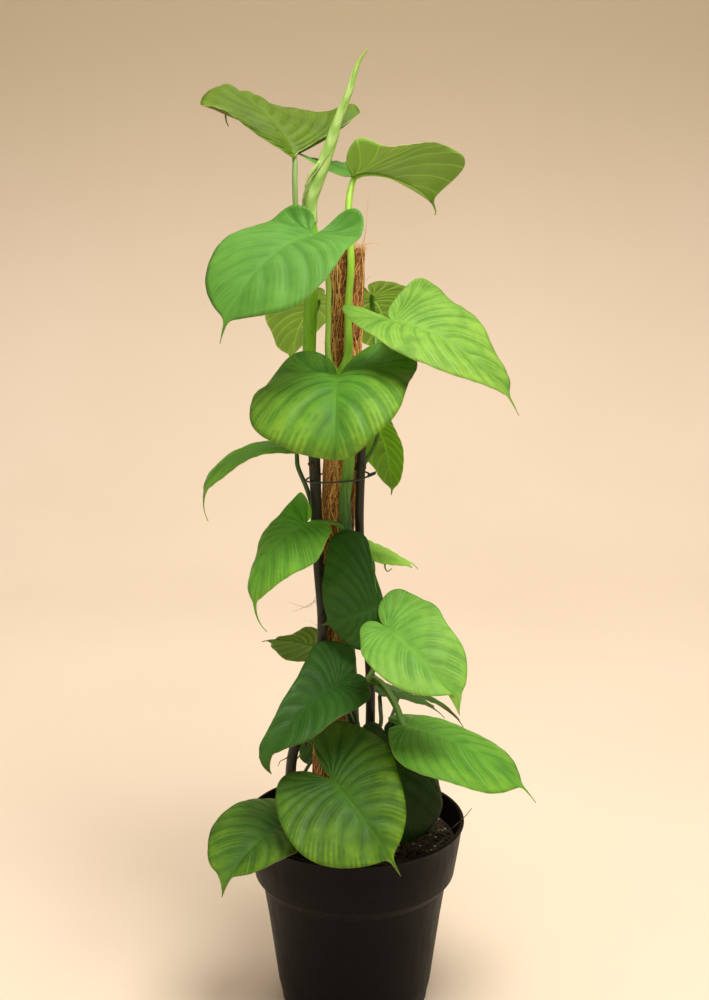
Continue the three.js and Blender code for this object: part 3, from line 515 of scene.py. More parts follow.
# The three climbing stems, from inside the soil to their last node.
STEMS = {
    "stem_front": dict(
        points=[
            (-2, -22, 60), (-2, -22, 138), (-1, -20, 200), (-2, -17, 258), (-6.5, -14.5, 330),
            (-6.5, -14.5, 382), (-7, -14.5, 405), (-4, -14.5, 438), (-8.5, -15.5, 475), (-11, -16.5, 500),
        ],
        radii=[5, 5, 4.6, 4.3, 4.2, 4.4],
    ),
    "stem_left": dict(
        points=[
            (-48, -12, 60), (-48, -12, 138), (-48, -11, 199), (-41, -11, 228), (-24.5, -13, 297),
            (-27, -9, 360), (-29, -6, 424), (-32.5, -8, 512), (-31, -8, 552), (-30, -10, 595),
            (-33, -10, 608),
        ],
        radii=[4.6, 4.4, 4, 4, 4, 4.4, 4.8, 4.6],
    ),
    "stem_right": dict(
        points=[
            (13, 0, 60), (13, 0, 138), (12, 0, 200), (11.8, 0, 265), (7, -3, 330), (3.6, -5, 382),
            (5, -5.5, 436), (6.5, -6, 480), (8, -6, 506),
        ],
        radii=[4.2, 4, 3.6, 3.5, 3.4, 3.4],
    ),
}

# A blade's fine form.
ROWS = 84  # of the grid on each half, along the margin
COLUMNS = 20  # from the midrib out to the margin
CROWDED_OUT = 1.4  # how much the columns crowd towards the midrib
VEINS = 12.5  # side veins on each half
LAST_VEIN = 0.93  # share of the outline where the last one ends
RIB_HEIGHT = 0.75
VEIN_ARCH = 0.22  # how far the side veins bow on their way to the margin
GROOVE = 0.6  # depth of the midrib's groove at the petiole
BLADE_HALF = 0.33  # half of the blade's thickness
MARGIN_WAVE = 0.9  # height of the waves along the margin
UNEVEN = 0.35  # height of the blade's uneven swellings
UNDER_RIB = 0.3  # how far the side veins stand out on the under side
MIDRIB_REACH = (0.06, 0.15)  # shares of the midrib that the petiole runs on under
UPPER, UNDER, MARGIN, PETIOLE = range(4)
# The dark hook at the end of a lobe.
HOOK = [(25.5, 40.5, 347), (23.5, 40, 340), (25.5, 40, 336), (29, 39.5, 338.5)]


def blade_half(form, hand, seed, ribs):
    """The middle surface of half a blade as a grid of points, and what its looks read at each of them."""
    k = np.linspace(0, 1, ROWS + 1)[:, None]
    w = (np.linspace(0, 1, COLUMNS + 1) ** CROWDED_OUT)[None, :]
    edge_u, edge_v = half_outline(form, hand)(k)
    start = form.length * k**form.crowding
    reach = np.hypot(edge_u - start, edge_v)
    fade = np.minimum(1, (1 - k) * 5)
    sway = np.cos(math.pi * np.minimum(k / 0.55, 1)) * fade
    middle_u = 0.5 * (start + edge_u) + VEIN_ARCH * reach * sway
    middle_v = 0.5 * edge_v + 0.1 * reach * fade
    u = (1 - w) ** 2 * start + 2 * (1 - w) * w * middle_u + w * w * edge_u
    v = 2 * (1 - w) * w * middle_v + w * w * edge_v
    vein = VEINS * k / LAST_VEIN + 0.25 * np.sin(7 * k + seed + 3 * hand) * np.sin(math.pi * k)
    step = np.hypot(np.gradient(u, axis=0), np.gradient(v, axis=0))
    gap = step / np.maximum(np.gradient(vein, axis=0), 1e-3)
    swollen = 2 * np.abs(np.sin(math.pi * vein)) ** 0.8 - 1
    ends = smooth(k, 0.0, 0.1) * (1 - smooth(k, 0.82, 0.95))
    across = smooth(w, 0, 0.15) * smooth(v, 0.3, 4) * (1 - 0.7 * smooth(w, 0.75, 1))
    lifted = RIB_HEIGHT * (0.5 + ribs) * np.minimum(1, gap / 5) * swollen * ends * across
    lifted -= GROOVE * np.exp(-((v / 1.3) ** 2)) * (1 - 0.6 * k) * smooth(k, 0, 0.05)
    lifted += MARGIN_WAVE * w**3 * np.sin(TURN * (2.6 * k + 0.13 * seed + 0.4 * hand)) * ends
    lifted += UNEVEN * lumps(u, v, 12, 14, 45, seed) * across * ends
    points = form.place(u, v, hand, lifted) + form.drawn(k, w, hand)
    grids = dict(vein=vein, gap=gap, out=w, mid=v, along=k)
    return points, {name: np.broadcast_to(grid, u.shape) for name, grid in grids.items()}


def blade(shape, form, seed, ribs):
    """A blade as one closed sheet: two halves that share the midrib, an upper and an under side and a rim."""
    halves = [blade_half(form, hand, seed, ribs) for hand in (0, 1)]
    number = np.arange(2 * (ROWS + 1) * (COLUMNS + 1)).reshape(2, ROWS + 1, COLUMNS + 1)
    number[:, [0, -1]] = number[:1, [0, -1], :1]  # each end is one point
    number[1, :, 0] = number[0, :, 0]
    kept, number = np.unique(number, return_inverse=True)
    number = number.reshape(2, ROWS + 1, COLUMNS + 1)
    points = np.stack([grid for grid, _ in halves]).reshape(-1, 3)[kept]
    values = {key: np.stack([read[key] for _, read in halves]).ravel()[kept] for key in halves[0][1]}
    count = len(points)
    faces = []
    for hand in (0, 1):
        grid = number[hand]
        quads = np.stack([grid[:-1, :-1], grid[1:, :-1], grid[1:, 1:], grid[:-1, 1:]], axis=-1)
        for quad in quads.reshape(-1, 4).tolist():
            face = [i for i, before in zip(quad, quad[-1:] + quad[:-1]) if i != before]
            if len(face) > 2:
                faces.append(face[::-1] if hand else face)
    normals = np.zeros_like(points)
    for size in (3, 4):
        group = np.array([face for face in faces if len(face) == size])
        corners = points[group]
        area = np.cross(corners[:, 2] - corners[:, 0], corners[:, -1] - corners[:, 1])
        np.add.at(normals, group, area[:, None])
    normals = unit(normals)
    half = (BLADE_HALF * (1 - 0.5 * values["out"] ** 6))[:, None]
    apart = np.abs((values["vein"] + 0.5) % 1 - 0.5) * values["gap"]
    raised = UNDER_RIB * np.exp(-((apart / 0.7) ** 2)) * (1 - smooth(values["out"], 0.7, 1))
    raised *= 1 - smooth(values["along"], 0.8, 0.92)
    first = shape.count
    shape.add(points + normals * half, faces, UPPER, **values)
    shape.add(points - normals * (half + raised[:, None]), [face[::-1] for face in faces], UNDER, **values)
    rim = [*number[0, :ROWS, COLUMNS], *number[1, ROWS:0:-1, COLUMNS]]
    for a, b in zip(rim, rim[1:] + rim[:1]):
        shape.faces.append([int(i) + first for i in (a, b, b + count, a + count)])
        shape.looks.append(MARGIN)


def stem_point(name, height):
    """The place on a stem's middle line at a height."""
    line = spaced(catmull_rom(STEMS[name]["points"]), 400)
    return line[np.argmin(np.abs(line[:, 2] - height))]


def grooved(angle, share):
    """A petiole's cross-section: round, with a shallow groove between two ridges on its upper side."""
    a = (angle + math.pi) % TURN - math.pi
    return 1 - 0.26 * np.exp(-((a / 0.42) ** 2)) + 0.07 * np.exp(-(((np.abs(a) - 0.75) / 0.25) ** 2))


def leaf(name, number):
    """A whole leaf: its blade, the petiole from its stem and the midrib below the blade."""
    form = LeafForm(LEAVES[name])
    shape = Shape()
    *_, ribs, _ = LEAF_LOOKS[name]
    blade(shape, form, number, ribs)
    r = form.radius
    sink = r * 0.85 + 0.3
    path = [stem_point(form.stem, form.node), *form.via, form.place(0, 0, 0, -sink)]
    path += [form.place(share * form.length, 0, 0, -sink * (1 - 2.4 * share)) for share in MIDRIB_REACH]
    path = spaced(catmull_rom(path), 46)
    radii = [1.9 * r, 1.3 * r, 1.1 * r, r, r, r, r, r, 0.95 * r, 0.9 * r, 0.7 * r, 0.3 * r]
    tube(shape, path, radii, 14, PETIOLE, grooved, first=form.face)
    shares = np.linspace(0.02, 0.86, 40)
    radii = [0.62 * r, 0.45 * r, 0.34 * r, 0.25 * r, 0.12 * r]
    depths = GROOVE * (1 - 0.6 * shares) + 0.2 * BLADE_HALF + 0.75 * spread(radii, len(shares))
    midrib = [form.place(share * form.length, 0, 0, -deep) for share, deep in zip(shares, depths)]
    tube(shape, midrib, radii, 8, UNDER, first=form.face)
    if name == "leaf_11":
        tube(shape, spaced(catmull_rom(HOOK), 20), [0.9, 0.8, 0.5, 0.3], 7, PETIOLE)
    return shape


# Small growths on the left stem, a bud, a dry root and a looped root: height, path and radii.
LOOPED_ROOT = [(-22, -17, 319), (-24.5, -20, 319), (-26.5, -20, 316), (-24.5, -20, 313), (-22, -19, 312)]
GROWTHS = [
    (429, [(-31, -11, 430), (-33.8, -12, 432)], [1.2, 2.0, 2.2, 0.6]),
    (207, [(-52.6, -18, 205), (-56, -20, 204), (-57.8, -20, 200)], [0.5, 0.4, 0.2]),
    (318, LOOPED_ROOT, [0.7, 0.6, 0.5]),
]


def pole_centre(z):
    """The middle of the leaning pole at one or more heights."""
    share = (np.asarray(z, float) - POLE_FOOT[2]) / (POLE_TOP[2] - POLE_FOOT[2])
    return POLE_FOOT + share[..., None] * (POLE_TOP - POLE_FOOT)


def stems():
    """The three stems with rings and short aerial roots at their nodes."""
    shapes = {}
    for name, spec in STEMS.items():
        shape = Shape()
        path = spaced(catmull_rom(spec["points"]), 240)
        radii = spread(spec["radii"], len(path))
        nodes = sorted(form["node"] for form in LEAVES.values() if form["stem"] == name)
        for height in nodes:
            apart = path[:, 2] - height
            radii = radii + 0.7 * np.exp(-((apart / 2.2) ** 2)) - 0.25 * np.exp(-(((apart + 3.2) / 1.2) ** 2))
        phases = rng.uniform(0, TURN, 3)

        def ridged(angle, share):
            waves = [np.cos(n * angle + phase + 5 * share) for n, phase in zip((2, 5, 9), phases)]
            return 1 + 0.035 * waves[0] + 0.018 * waves[1] + 0.01 * waves[2]

        tube(shape, path, radii, 24, 0, ridged)
        for height in nodes:
            at = path[np.argmin(np.abs(path[:, 2] - height))]
            for _ in range(2):
                aerial_root(shape, at, height)
        if name == "stem_left":
            for height, growth, radii in GROWTHS:
                tube(shape, spaced(catmull_rom([stem_point(name, height), *growth]), 14), radii, 7, 1)
        shapes[name] = shape
    return shapes


def aerial_root(shape, at, height):
    """A short root from a stem's node towards the pole, a little to one side and down."""
    inward = pole_centre(height) - at
    turn = math.atan2(inward[1], inward[0]) + rng.uniform(-1.1, 1.1)
    out = outward(turn, -rng.uniform(0.1, 0.7))
    length = rng.uniform(6, 10)
    root = [at + out * 2.5, at + out * length * 0.6, at + out * length + [0, 0, -3]]
    tube(shape, spaced(catmull_rom(root), 8), [0.9, 0.8, 0.7, 0.3], 7, 1)


STRANDS = 1300
FUZZ = 150
FRAYED = 70
WRAPS = (152, 203, 262, 318, 366, 408, 447, 492, 541)  # heights of thin threads round the sleeve
# Loose fibres that stand out from the pole.
LOOSE_FIBRES = [
    [(6, 2, 584), (8, -3, 600), (10, -6, 626)],
    [(4, -6, 582), (10, -10, 590), (22, -12, 588)],
    [(-26, -6, 380), (-29, -9, 372), (-27, -9, 366)],
    [(-26, -5, 352), (-30, -8, 356), (-33, -8, 352)],
    [(-28, -4, 330), (-34, -8, 322), (-50, -9, 326)],
    [(-28, -4, 326), (-38, -7, 321), (-46, -8, 318)],
]


def coir():
    """The sleeve: a matted core and many near-upright strands, loose ones, a frayed top and thin wraps."""
    shape = Shape()
    rings = 150
    sides = 40
    z = np.linspace(SLEEVE_FOOT, POLE_TOP[2] - 1, rings)
    angle = angles(sides)
    rough = lumps(z[:, None] * 0.6, angle[None, :] * 8, 30, 3, 16, 5)
    outer = POLE_RADIUS - 0.9 + 0.35 * rough
    wall = pole_centre(z)[:, None] + outer[..., None] * outward(angle)
    inner = pole_centre(z[::-1])[:, None] + (STAKE_RADIUS + 0.4) * outward(angle)
    points = np.vstack([wall.reshape(-1, 3), inner.reshape(-1, 3)])
    shape.add(points, ring_faces(2 * rings, sides, closed=True), 0, tone=0.25)
    for _ in range(STRANDS):
        length = rng.uniform(25, 95)
        low = rng.uniform(SLEEVE_FOOT - 5, POLE_TOP[2] - length * 0.8)
        heights = np.linspace(low, min(low + length, POLE_TOP[2] + rng.uniform(0, 5)), 9)
        lean = rng.normal(0, 0.24)
        turn = rng.uniform(0, TURN) + lean * (heights - low) / POLE_RADIUS
        turn += 0.09 * np.sin(heights * rng.uniform(0.1, 0.4) + rng.uniform(0, 6))
        lie = POLE_RADIUS - 0.55 + rng.uniform(-0.25, 0.45) + 0.25 * np.sin(heights * rng.uniform(0.1, 0.3))
        thick = rng.uniform(0.2, 0.52)
        path = pole_centre(heights) + lie[:, None] * outward(turn)
        tube(shape, path, [0.4 * thick, thick, thick, 0.3 * thick], 3, 1, tone=rng.uniform(0, 1))
    for _ in range(FUZZ):
        start = rng.uniform(SLEEVE_FOOT + 14, POLE_TOP[2])
        turn = rng.uniform(0, TURN)
        out = outward(turn, rng.uniform(-0.6, 1.1))
        side = outward(turn + TURN / 4) * rng.uniform(-1, 1)
        foot = pole_centre(start) + (POLE_RADIUS - 0.8) * outward(turn)
        length = rng.uniform(2, 8)
        path = [foot, foot + length * (0.5 * out + 0.4 * side), foot + length * (out + 1.2 * side)]
        tube(shape, spaced(catmull_rom(path), 8), [0.16, 0.14, 0.06], 3, 1, tone=rng.uniform(0.1, 1))
    for _ in range(FRAYED):
        out = outward(rng.uniform(0, TURN))
        foot = POLE_TOP + out * (POLE_RADIUS - rng.uniform(0.8, 3)) - [0, 0, 4]
        tip = foot + out * rng.uniform(-2, 4) + [0, 0, rng.uniform(4, 10)]
        path = spaced(catmull_rom([foot, (foot + tip) / 2 + rng.normal(0, 1, 3), tip]), 8)
        tube(shape, path, [0.22, 0.2, 0.08], 3, 1, tone=rng.uniform(0.3, 1))
    for height in WRAPS:
        turn = angles(48) + height
        path = pole_centre(height + 3.5 * np.cos(turn - 1)) + (POLE_RADIUS + 0.15) * outward(turn)
        tube(shape, path, [0.22], 4, 1, closed=True, tone=0.05)
    for path in LOOSE_FIBRES:
        tube(shape, spaced(catmull_rom(path), 24), [0.2, 0.17, 0.08], 4, 1, tone=0.6)
    return shape


def lathe(shape, profile, sides, look=0, **values):
    """A body of revolution about +Z, from [radius, height] pairs that start and end on the axis."""
    profile = np.array(profile, float)
    body = profile[1:-1]
    points = body[:, :1, None] * outward(angles(sides)) + body[:, 1:, None] * [0, 0, 1]
    points = np.vstack([points.reshape(-1, 3), [0, 0, profile[0, 1]], [0, 0, profile[-1, 1]]])
    faces = ring_faces(len(body), sides) + cap_faces(len(body), sides)
    shape.add(points, faces, look, **values)


def rounded(profile, share=0.3, steps=3):
    """A profile with its corners rounded off a little."""
    p = np.array(profile, float)
    out = [p[0]]
    for a, b, c in zip(p[:-2], p[1:-1], p[2:]):
        cut = min(share * np.linalg.norm(a - b), share * np.linalg.norm(c - b), 1.2)
        start, end = b + unit(a - b) * cut, b + unit(c - b) * cut
        for t in np.linspace(0, 1, steps):
            out.append((1 - t) ** 2 * start + 2 * t * (1 - t) * b + t * t * end)
    return [*out, p[-1]]


def pot(look):
    """The pot: a lathed shell with a collar and a lip, and drain holes cut through its floor."""
    outside = [
        (0, 0), (BASE_RADIUS - 1.5, 0), (BASE_RADIUS, 1.5), (BASE_RADIUS + 0.5, 6), *BODY,
        (BODY_TOP_RADIUS, BODY_TOP_Z), (COLLAR_FOOT_RADIUS, COLLAR_FOOT_Z), (COLLAR_TOP_RADIUS, COLLAR_TOP_Z),
        (RIM_RADIUS - 1.4, POT_HEIGHT - 3), (RIM_RADIUS, POT_HEIGHT - 2), (RIM_RADIUS - 0.3, POT_HEIGHT),
    ]
    inside = [
        (RIM_RADIUS - 0.8, POT_HEIGHT), (COLLAR_TOP_RADIUS, COLLAR_TOP_Z),
        (COLLAR_FOOT_RADIUS, COLLAR_FOOT_Z + 1), (BODY_TOP_RADIUS, BODY_TOP_Z + 1.5), *BODY[::-1],
        (BASE_RADIUS, FLOOR),
    ]
    inside = [(radius - WALL, height) for radius, height in inside]
    shape = Shape()
    lathe(shape, rounded([*outside, *inside, (0, FLOOR)]), 128)
    drains = Shape()
    for turn in angles(DRAIN_COUNT) + math.pi / DRAIN_COUNT:
        foot = DRAIN_CIRCLE * outward(turn) - [0, 0, 6]
        tube(drains, [foot, foot + [0, 0, FLOOR + 12]], [DRAIN_RADIUS], 24)
    cutters = drains.build("drains", [], "pot_plastic")
    piece = shape.build("pot_shell", [look], "pot_plastic", "pot")
    cut = piece.modifiers.new("drains", "BOOLEAN")
    cut.object = cutters
    cut.solver = "EXACT"
    bpy.context.view_layer.update()
    seen = piece.evaluated_get(bpy.context.evaluated_depsgraph_get())
    piece.data = bpy.data.meshes.new_from_object(seen)
    piece.modifiers.clear()
    bpy.data.objects.remove(cutters)


def ground(x, y):
    """The height of the soil's surface."""
    bumps = np.sin(x * 0.21 + 1) * np.cos(y * 0.17) + 0.6 * np.sin(x * 0.43 - y * 0.31)
    bumps = bumps + 0.4 * np.cos(y * 0.55 + 2)
    inward = 1 - smooth(np.hypot(x, y), 62, 76)
    return SOIL_TOP + SOIL_BUMP * (0.4 + bumps) * inward + 0.55 * lumps(x, y, 40, 3, 14, 8)


GOLDEN = (1 + math.sqrt(5)) / 2
# A regular solid of twelve corners and twenty faces.
CORNERS = np.array([
    (-1, GOLDEN, 0), (1, GOLDEN, 0), (-1, -GOLDEN, 0), (1, -GOLDEN, 0), (0, -1, GOLDEN), (0, 1, GOLDEN),
    (0, -1, -GOLDEN), (0, 1, -GOLDEN), (GOLDEN, 0, -1), (GOLDEN, 0, 1), (-GOLDEN, 0, -1), (-GOLDEN, 0, 1),
])
FACES = [
    (0, 11, 5), (0, 5, 1), (0, 1, 7), (0, 7, 10), (0, 10, 11), (1, 5, 9), (5, 11, 4), (11, 10, 2), (10, 7, 6),
    (7, 1, 8), (3, 9, 4), (3, 4, 2), (3, 2, 6), (3, 6, 8), (3, 8, 9), (4, 9, 5), (2, 4, 11), (6, 2, 10),
    (8, 6, 7), (9, 8, 1),
]


def crumb(shape, x, y, size, look, above, flat=1.0):
    """A small uneven grain on the soil, with its middle above the surface by a share of its size."""
    stretch = rng.uniform(0.55, 1.25, 3) * [1, 1, flat]
    turned = np.linalg.qr(rng.normal(size=(3, 3)))[0]
    turned *= np.sign(np.linalg.det(turned))
    points = unit(CORNERS) * rng.uniform(0.75, 1.2, (12, 1)) @ turned * stretch * size
    shape.add(points + (x, y, ground(x, y) + above * size), FACES, look, tone=rng.uniform(0, 1))


def spot(edge):
    """A random place on the soil, within a distance of the pot's middle."""
    reach = edge * math.sqrt(rng.uniform(0, 1))
    x, y, _ = reach * outward(rng.uniform(0, TURN))
    return x, y


CRUMBS = 2400
WHITE_GRAINS = 150
DRY_FIBRES = 120
# White grains that show on the soil: place and size.
PERLITE = [(52, -34, 2.0), (58, -24, 1.3), (50, -20, 1.1), (62, -12, 1.2), (44, -52, 1.4), (66, -28, 1.0)]
# A pale curved fibre on the soil and a dry twig at the rim.
LITTER = [
    ([(36, -52, 133.5), (41, -47, 135.5), (49, -47, 135), (54, -53, 134)], 0.5),
    ([(76, -2, 141), (82, -5, 148.5), (86, -7, 154), (90.4, -8, 160.6)], 0.4),
]


def soil():
    """The soil: an uneven body in the pot with crumbs, white grains and dry fibres on its surface."""
    shape = Shape()
    foot = FLOOR + 0.3
    side = [
        (0, foot), (BASE_RADIUS - WALL - 1.5, foot), (62.8 - WALL, 40), (67 - WALL, 73),
        (BODY_TOP_RADIUS - WALL - 0.9, BODY_TOP_Z + 1),
        (COLLAR_FOOT_RADIUS - WALL - 0.6, COLLAR_FOOT_Z + 1.5), (SOIL_RADIUS, SOIL_TOP),
    ]
    lathe(shape, [*side, (0, SOIL_TOP - 3)], 60, 0, tone=0.5)
    sides = 150
    radii = np.linspace(SOIL_RADIUS, 0.5, 70)
    x, y, _ = np.moveaxis(radii[:, None, None] * outward(angles(sides)), -1, 0)
    top = np.stack([x, y, ground(x, y)], axis=-1).reshape(-1, 3)
    faces = ring_faces(len(radii), sides)
    faces.append(list(range((len(radii) - 1) * sides, len(radii) * sides)))
    shape.add(top, faces, 0, tone=0.5)
    for _ in range(CRUMBS):
        x, y = spot(SOIL_RADIUS - 2)
        size = rng.uniform(0.5, 1.5) + 1.1 * rng.uniform(0, 1) ** 5
        crumb(shape, x, y, size, 0, 0.35, 0.7)
    for _ in range(WHITE_GRAINS):
        x, y = spot(SOIL_RADIUS - 2)
        crumb(shape, x, y, rng.uniform(0.5, 1.3), 1, 0.5)
    for x, y, size in PERLITE:
        crumb(shape, x, y, size, 1, 0.4)
    for _ in range(DRY_FIBRES):
        x, y = spot(SOIL_RADIUS - 8)
        step = outward(rng.uniform(0, TURN)) * rng.uniform(3, 7)
        centre = np.array([x, y, ground(x, y) + 0.9])
        path = [centre - step, centre + [0, 0, rng.uniform(0, 1.4)], centre + step]
        tube(shape, spaced(catmull_rom(path), 7), [0.15, 0.3, 0.15], 4, 2, tone=rng.uniform(0, 1))
    for path, radius in LITTER:
        tube(shape, spaced(catmull_rom(path), 16), [radius, radius, 0.6 * radius], 5, 2, tone=0.9)
    return shape


def tie():
    """The tie: a thin wire round the pole and the three stems, with its twisted end on the right."""
    around = [
        (-35.5, -5), (-31, -12.5), (-18, -19), (-7, -21), (3, -19), (9.5, -11), (11, -3), (6, 9), (-3, 17.5),
        (-14, 18.5), (-26, 13), (-34, 4),
    ]
    ring = [(x, y, TIE_Z + 0.1 * x) for x, y in around]
    shape = Shape()
    path = spaced(catmull_rom(ring, closed=True), 145)[:-1]
    tube(shape, path, [TIE_RADIUS], 10, closed=True)
    t = np.linspace(0, 1, 40)[:, None]
    for phase in (0, math.pi):
        turn = phase + t * 5 * math.pi
        coiled = 0.75 * np.sin(turn) * [0, 1, 0] + 0.75 * np.cos(turn) * [0, 0, 1]
        tube(shape, [10, -9, TIE_Z + 1] + t * [5.5, 1.5, 2] + coiled, [TIE_RADIUS, TIE_RADIUS, 0.5], 8)
    return shape


def spear():
    """The rolled new leaf, its overlapping edge winding round it, and the free edge of its sheath."""
    shape = Shape()
    line = [
        (-30, -10.5, 604), (-30.5, -10, 619), (-22, -10, 644), (-16.3, -10, 660), (-11, -10, 675),
        (-2.7, -10, 696), (2.4, -10, 712), (8.9, -10, 721.6),
    ]

    def rolled(angle, share):
        turn = (angle / TURN + 1.3 * share + 0.1) % 1
        return 0.9 + 0.2 * turn - 0.13 * np.exp(-((turn / 0.06) ** 2))

    tube(shape, spaced(catmull_rom(line), 150), [4.2, 4.8, 5, 4.4, 3.8, 3.2, 2.6, 1.8, 0.5], 40, 0, rolled)
    sheath = [(-24, -13, 646), (-31, -14, 637), (-34.5, -13.5, 629)]
    tube(shape, spaced(catmull_rom(sheath), 20), [1.4, 1.2, 0.6], 10, 1)
    edge = [(-35, -9, 606), (-36, -12, 618), (-33, -15, 630), (-26, -15.2, 640), (-17, -14, 652)]
    tube(shape, spaced(catmull_rom(edge), 30), [0.5, 0.8, 0.7, 0.3], 8, 2)
    return shape


def tint(red, green, blue):
    """A colour given as the 0 to 255 values of a screen, in linear light."""
    parts = [c / 255 for c in (red, green, blue)]
    return [c / 12.92 if c <= 0.04045 else ((c + 0.055) / 1.055) ** 2.4 for c in parts] + [1]


def faded(colour, share):
    """A linear colour made darker, or lighter where the share is over 1."""
    return [c * share for c in colour[:3]] + [1]


class Look:
    """A material built from nodes, with short calls for the nodes used here. A tuple is a screen colour."""

    def __init__(self, name):
        self.material = bpy.data.materials.new(name)
        self.material.use_nodes = True
        self.tree = self.material.node_tree
        self.shader = self.tree.nodes["Principled BSDF"]
        self.place = self.node("ShaderNodeTexCoord").outputs["Object"]

    def node(self, kind, **settings):
        made = self.tree.nodes.new(kind)
        for key, value in settings.items():
            setattr(made, key, value)
        return made

    def join(self, value, socket):
        if isinstance(value, bpy.types.NodeSocket):
            self.tree.links.new(value, socket)
        else:
            socket.default_value = tint(*value) if isinstance(value, tuple) else value

    def math(self, operation, *values):
        made = self.node("ShaderNodeMath", operation=operation)
        for value, socket in zip(values, made.inputs):
            self.join(value, socket)
        return made.outputs[0]

    def times(self, product, *values):
        for value in values:
            product = self.math("MULTIPLY", product, value)
        return product

    def height(self):
        split = self.node("ShaderNodeSeparateXYZ")
        self.join(self.place, split.inputs[0])
        return split.outputs["Z"]

    def value(self, name):
        return self.node("ShaderNodeAttribute", attribute_name=name).outputs["Fac"]

    def stretched(self, x, y, z):
        made = self.node("ShaderNodeMapping")
        self.join(self.place, made.inputs["Vector"])
        made.inputs["Scale"].default_value = (x, y, z)
        return made.outputs[0]

    def noise(self, scale, detail=3.0, rough=0.5, vector=None):
        made = self.node("ShaderNodeTexNoise")
        self.join(vector or self.place, made.inputs["Vector"])
        made.inputs["Scale"].default_value = scale
        made.inputs["Detail"].default_value = detail
        made.inputs["Roughness"].default_value = rough
        return made.outputs["Fac"]

    def cells(self, scale):
        made = self.node("ShaderNodeTexVoronoi")
        self.join(self.place, made.inputs["Vector"])
        made.inputs["Scale"].default_value = scale
        return made.outputs["Distance"]

    def ramp(self, value, low, high, start=0.0, end=1.0):
        made = self.node("ShaderNodeMapRange", interpolation_type="SMOOTHSTEP")
        for item, socket in zip((value, low, high, start, end), made.inputs):
            self.join(item, socket)
        return made.outputs[0]

    def mix(self, share, a, b):
        made = self.node("ShaderNodeMix", data_type="RGBA")
        self.join(share, made.inputs["Factor"])
        self.join(a, made.inputs["A"])
        self.join(b, made.inputs["B"])
        return [socket for socket in made.outputs if socket.type == "RGBA"][0]

    def bump(self, height, strength, distance):
        made = self.node("ShaderNodeBump")
        self.join(height, made.inputs["Height"])
        made.inputs["Strength"].default_value = strength
        made.inputs["Distance"].default_value = distance
        return made.outputs[0]

    def near(self, centre, radius, soft):
        """1 inside a ball about a place in millimetres, fading out over its soft edge."""
        made = self.node("ShaderNodeVectorMath", operation="DISTANCE")
        self.join(self.place, made.inputs[0])
        made.inputs[1].default_value = [c * MM for c in centre]
        ragged = self.math("ADD", made.outputs["Value"], self.times(self.noise(300), 0.003))
        return self.ramp(ragged, radius * MM, (radius + soft) * MM, 1.0, 0.0)

    def finish(self, color, roughness, normal=None, **constants):
        self.join(color, self.shader.inputs["Base Color"])
        self.join(roughness, self.shader.inputs["Roughness"])
        if normal:
            self.join(normal, self.shader.inputs["Normal"])
        for key, value in constants.items():
            self.shader.inputs[key.replace("_", " ")].default_value = value
        return self.material


# Soft light through thin green parts.
THIN = dict(Subsurface_Weight=0.12, Subsurface_Scale=0.002)
# Leaf colours by age: the swollen parts, the sunken veins, the glow towards the margin and the under side.
# The sunken colour is partly painted shade in the furrows, and the under side colour is partly a painted glow
# of light shining through the blade.
PALETTES = {
    "olive": ((116, 152, 34), (80, 112, 18), (150, 182, 50), (130, 150, 50)),
    "young": ((96, 156, 60), (70, 124, 46), (128, 184, 64), (166, 216, 90)),
    "bright": ((132, 182, 68), (72, 128, 42), (164, 206, 84), (150, 196, 84)),
    "middle": ((86, 142, 46), (56, 106, 32), (130, 174, 52), (138, 206, 50)),
    "soft": ((112, 166, 66), (62, 114, 40), (150, 194, 76), (140, 188, 74)),
    "deep": ((60, 108, 38), (42, 82, 28), (104, 148, 50), (124, 170, 68)),
    "old": ((66, 112, 34), (42, 78, 26), (122, 164, 40), (92, 130, 50)),
}
# Petiole colours: near the blade, near the stem, and the ridges.
STALKS = {
    "young": ((156, 206, 60), (134, 186, 44), (196, 226, 116)),
    "grey": ((128, 160, 90), (120, 160, 64), (176, 196, 130)),
    "middle": ((98, 152, 48), (76, 122, 36), (140, 178, 80)),
    "dark": ((58, 84, 36), (36, 48, 26), (92, 112, 58)),
}
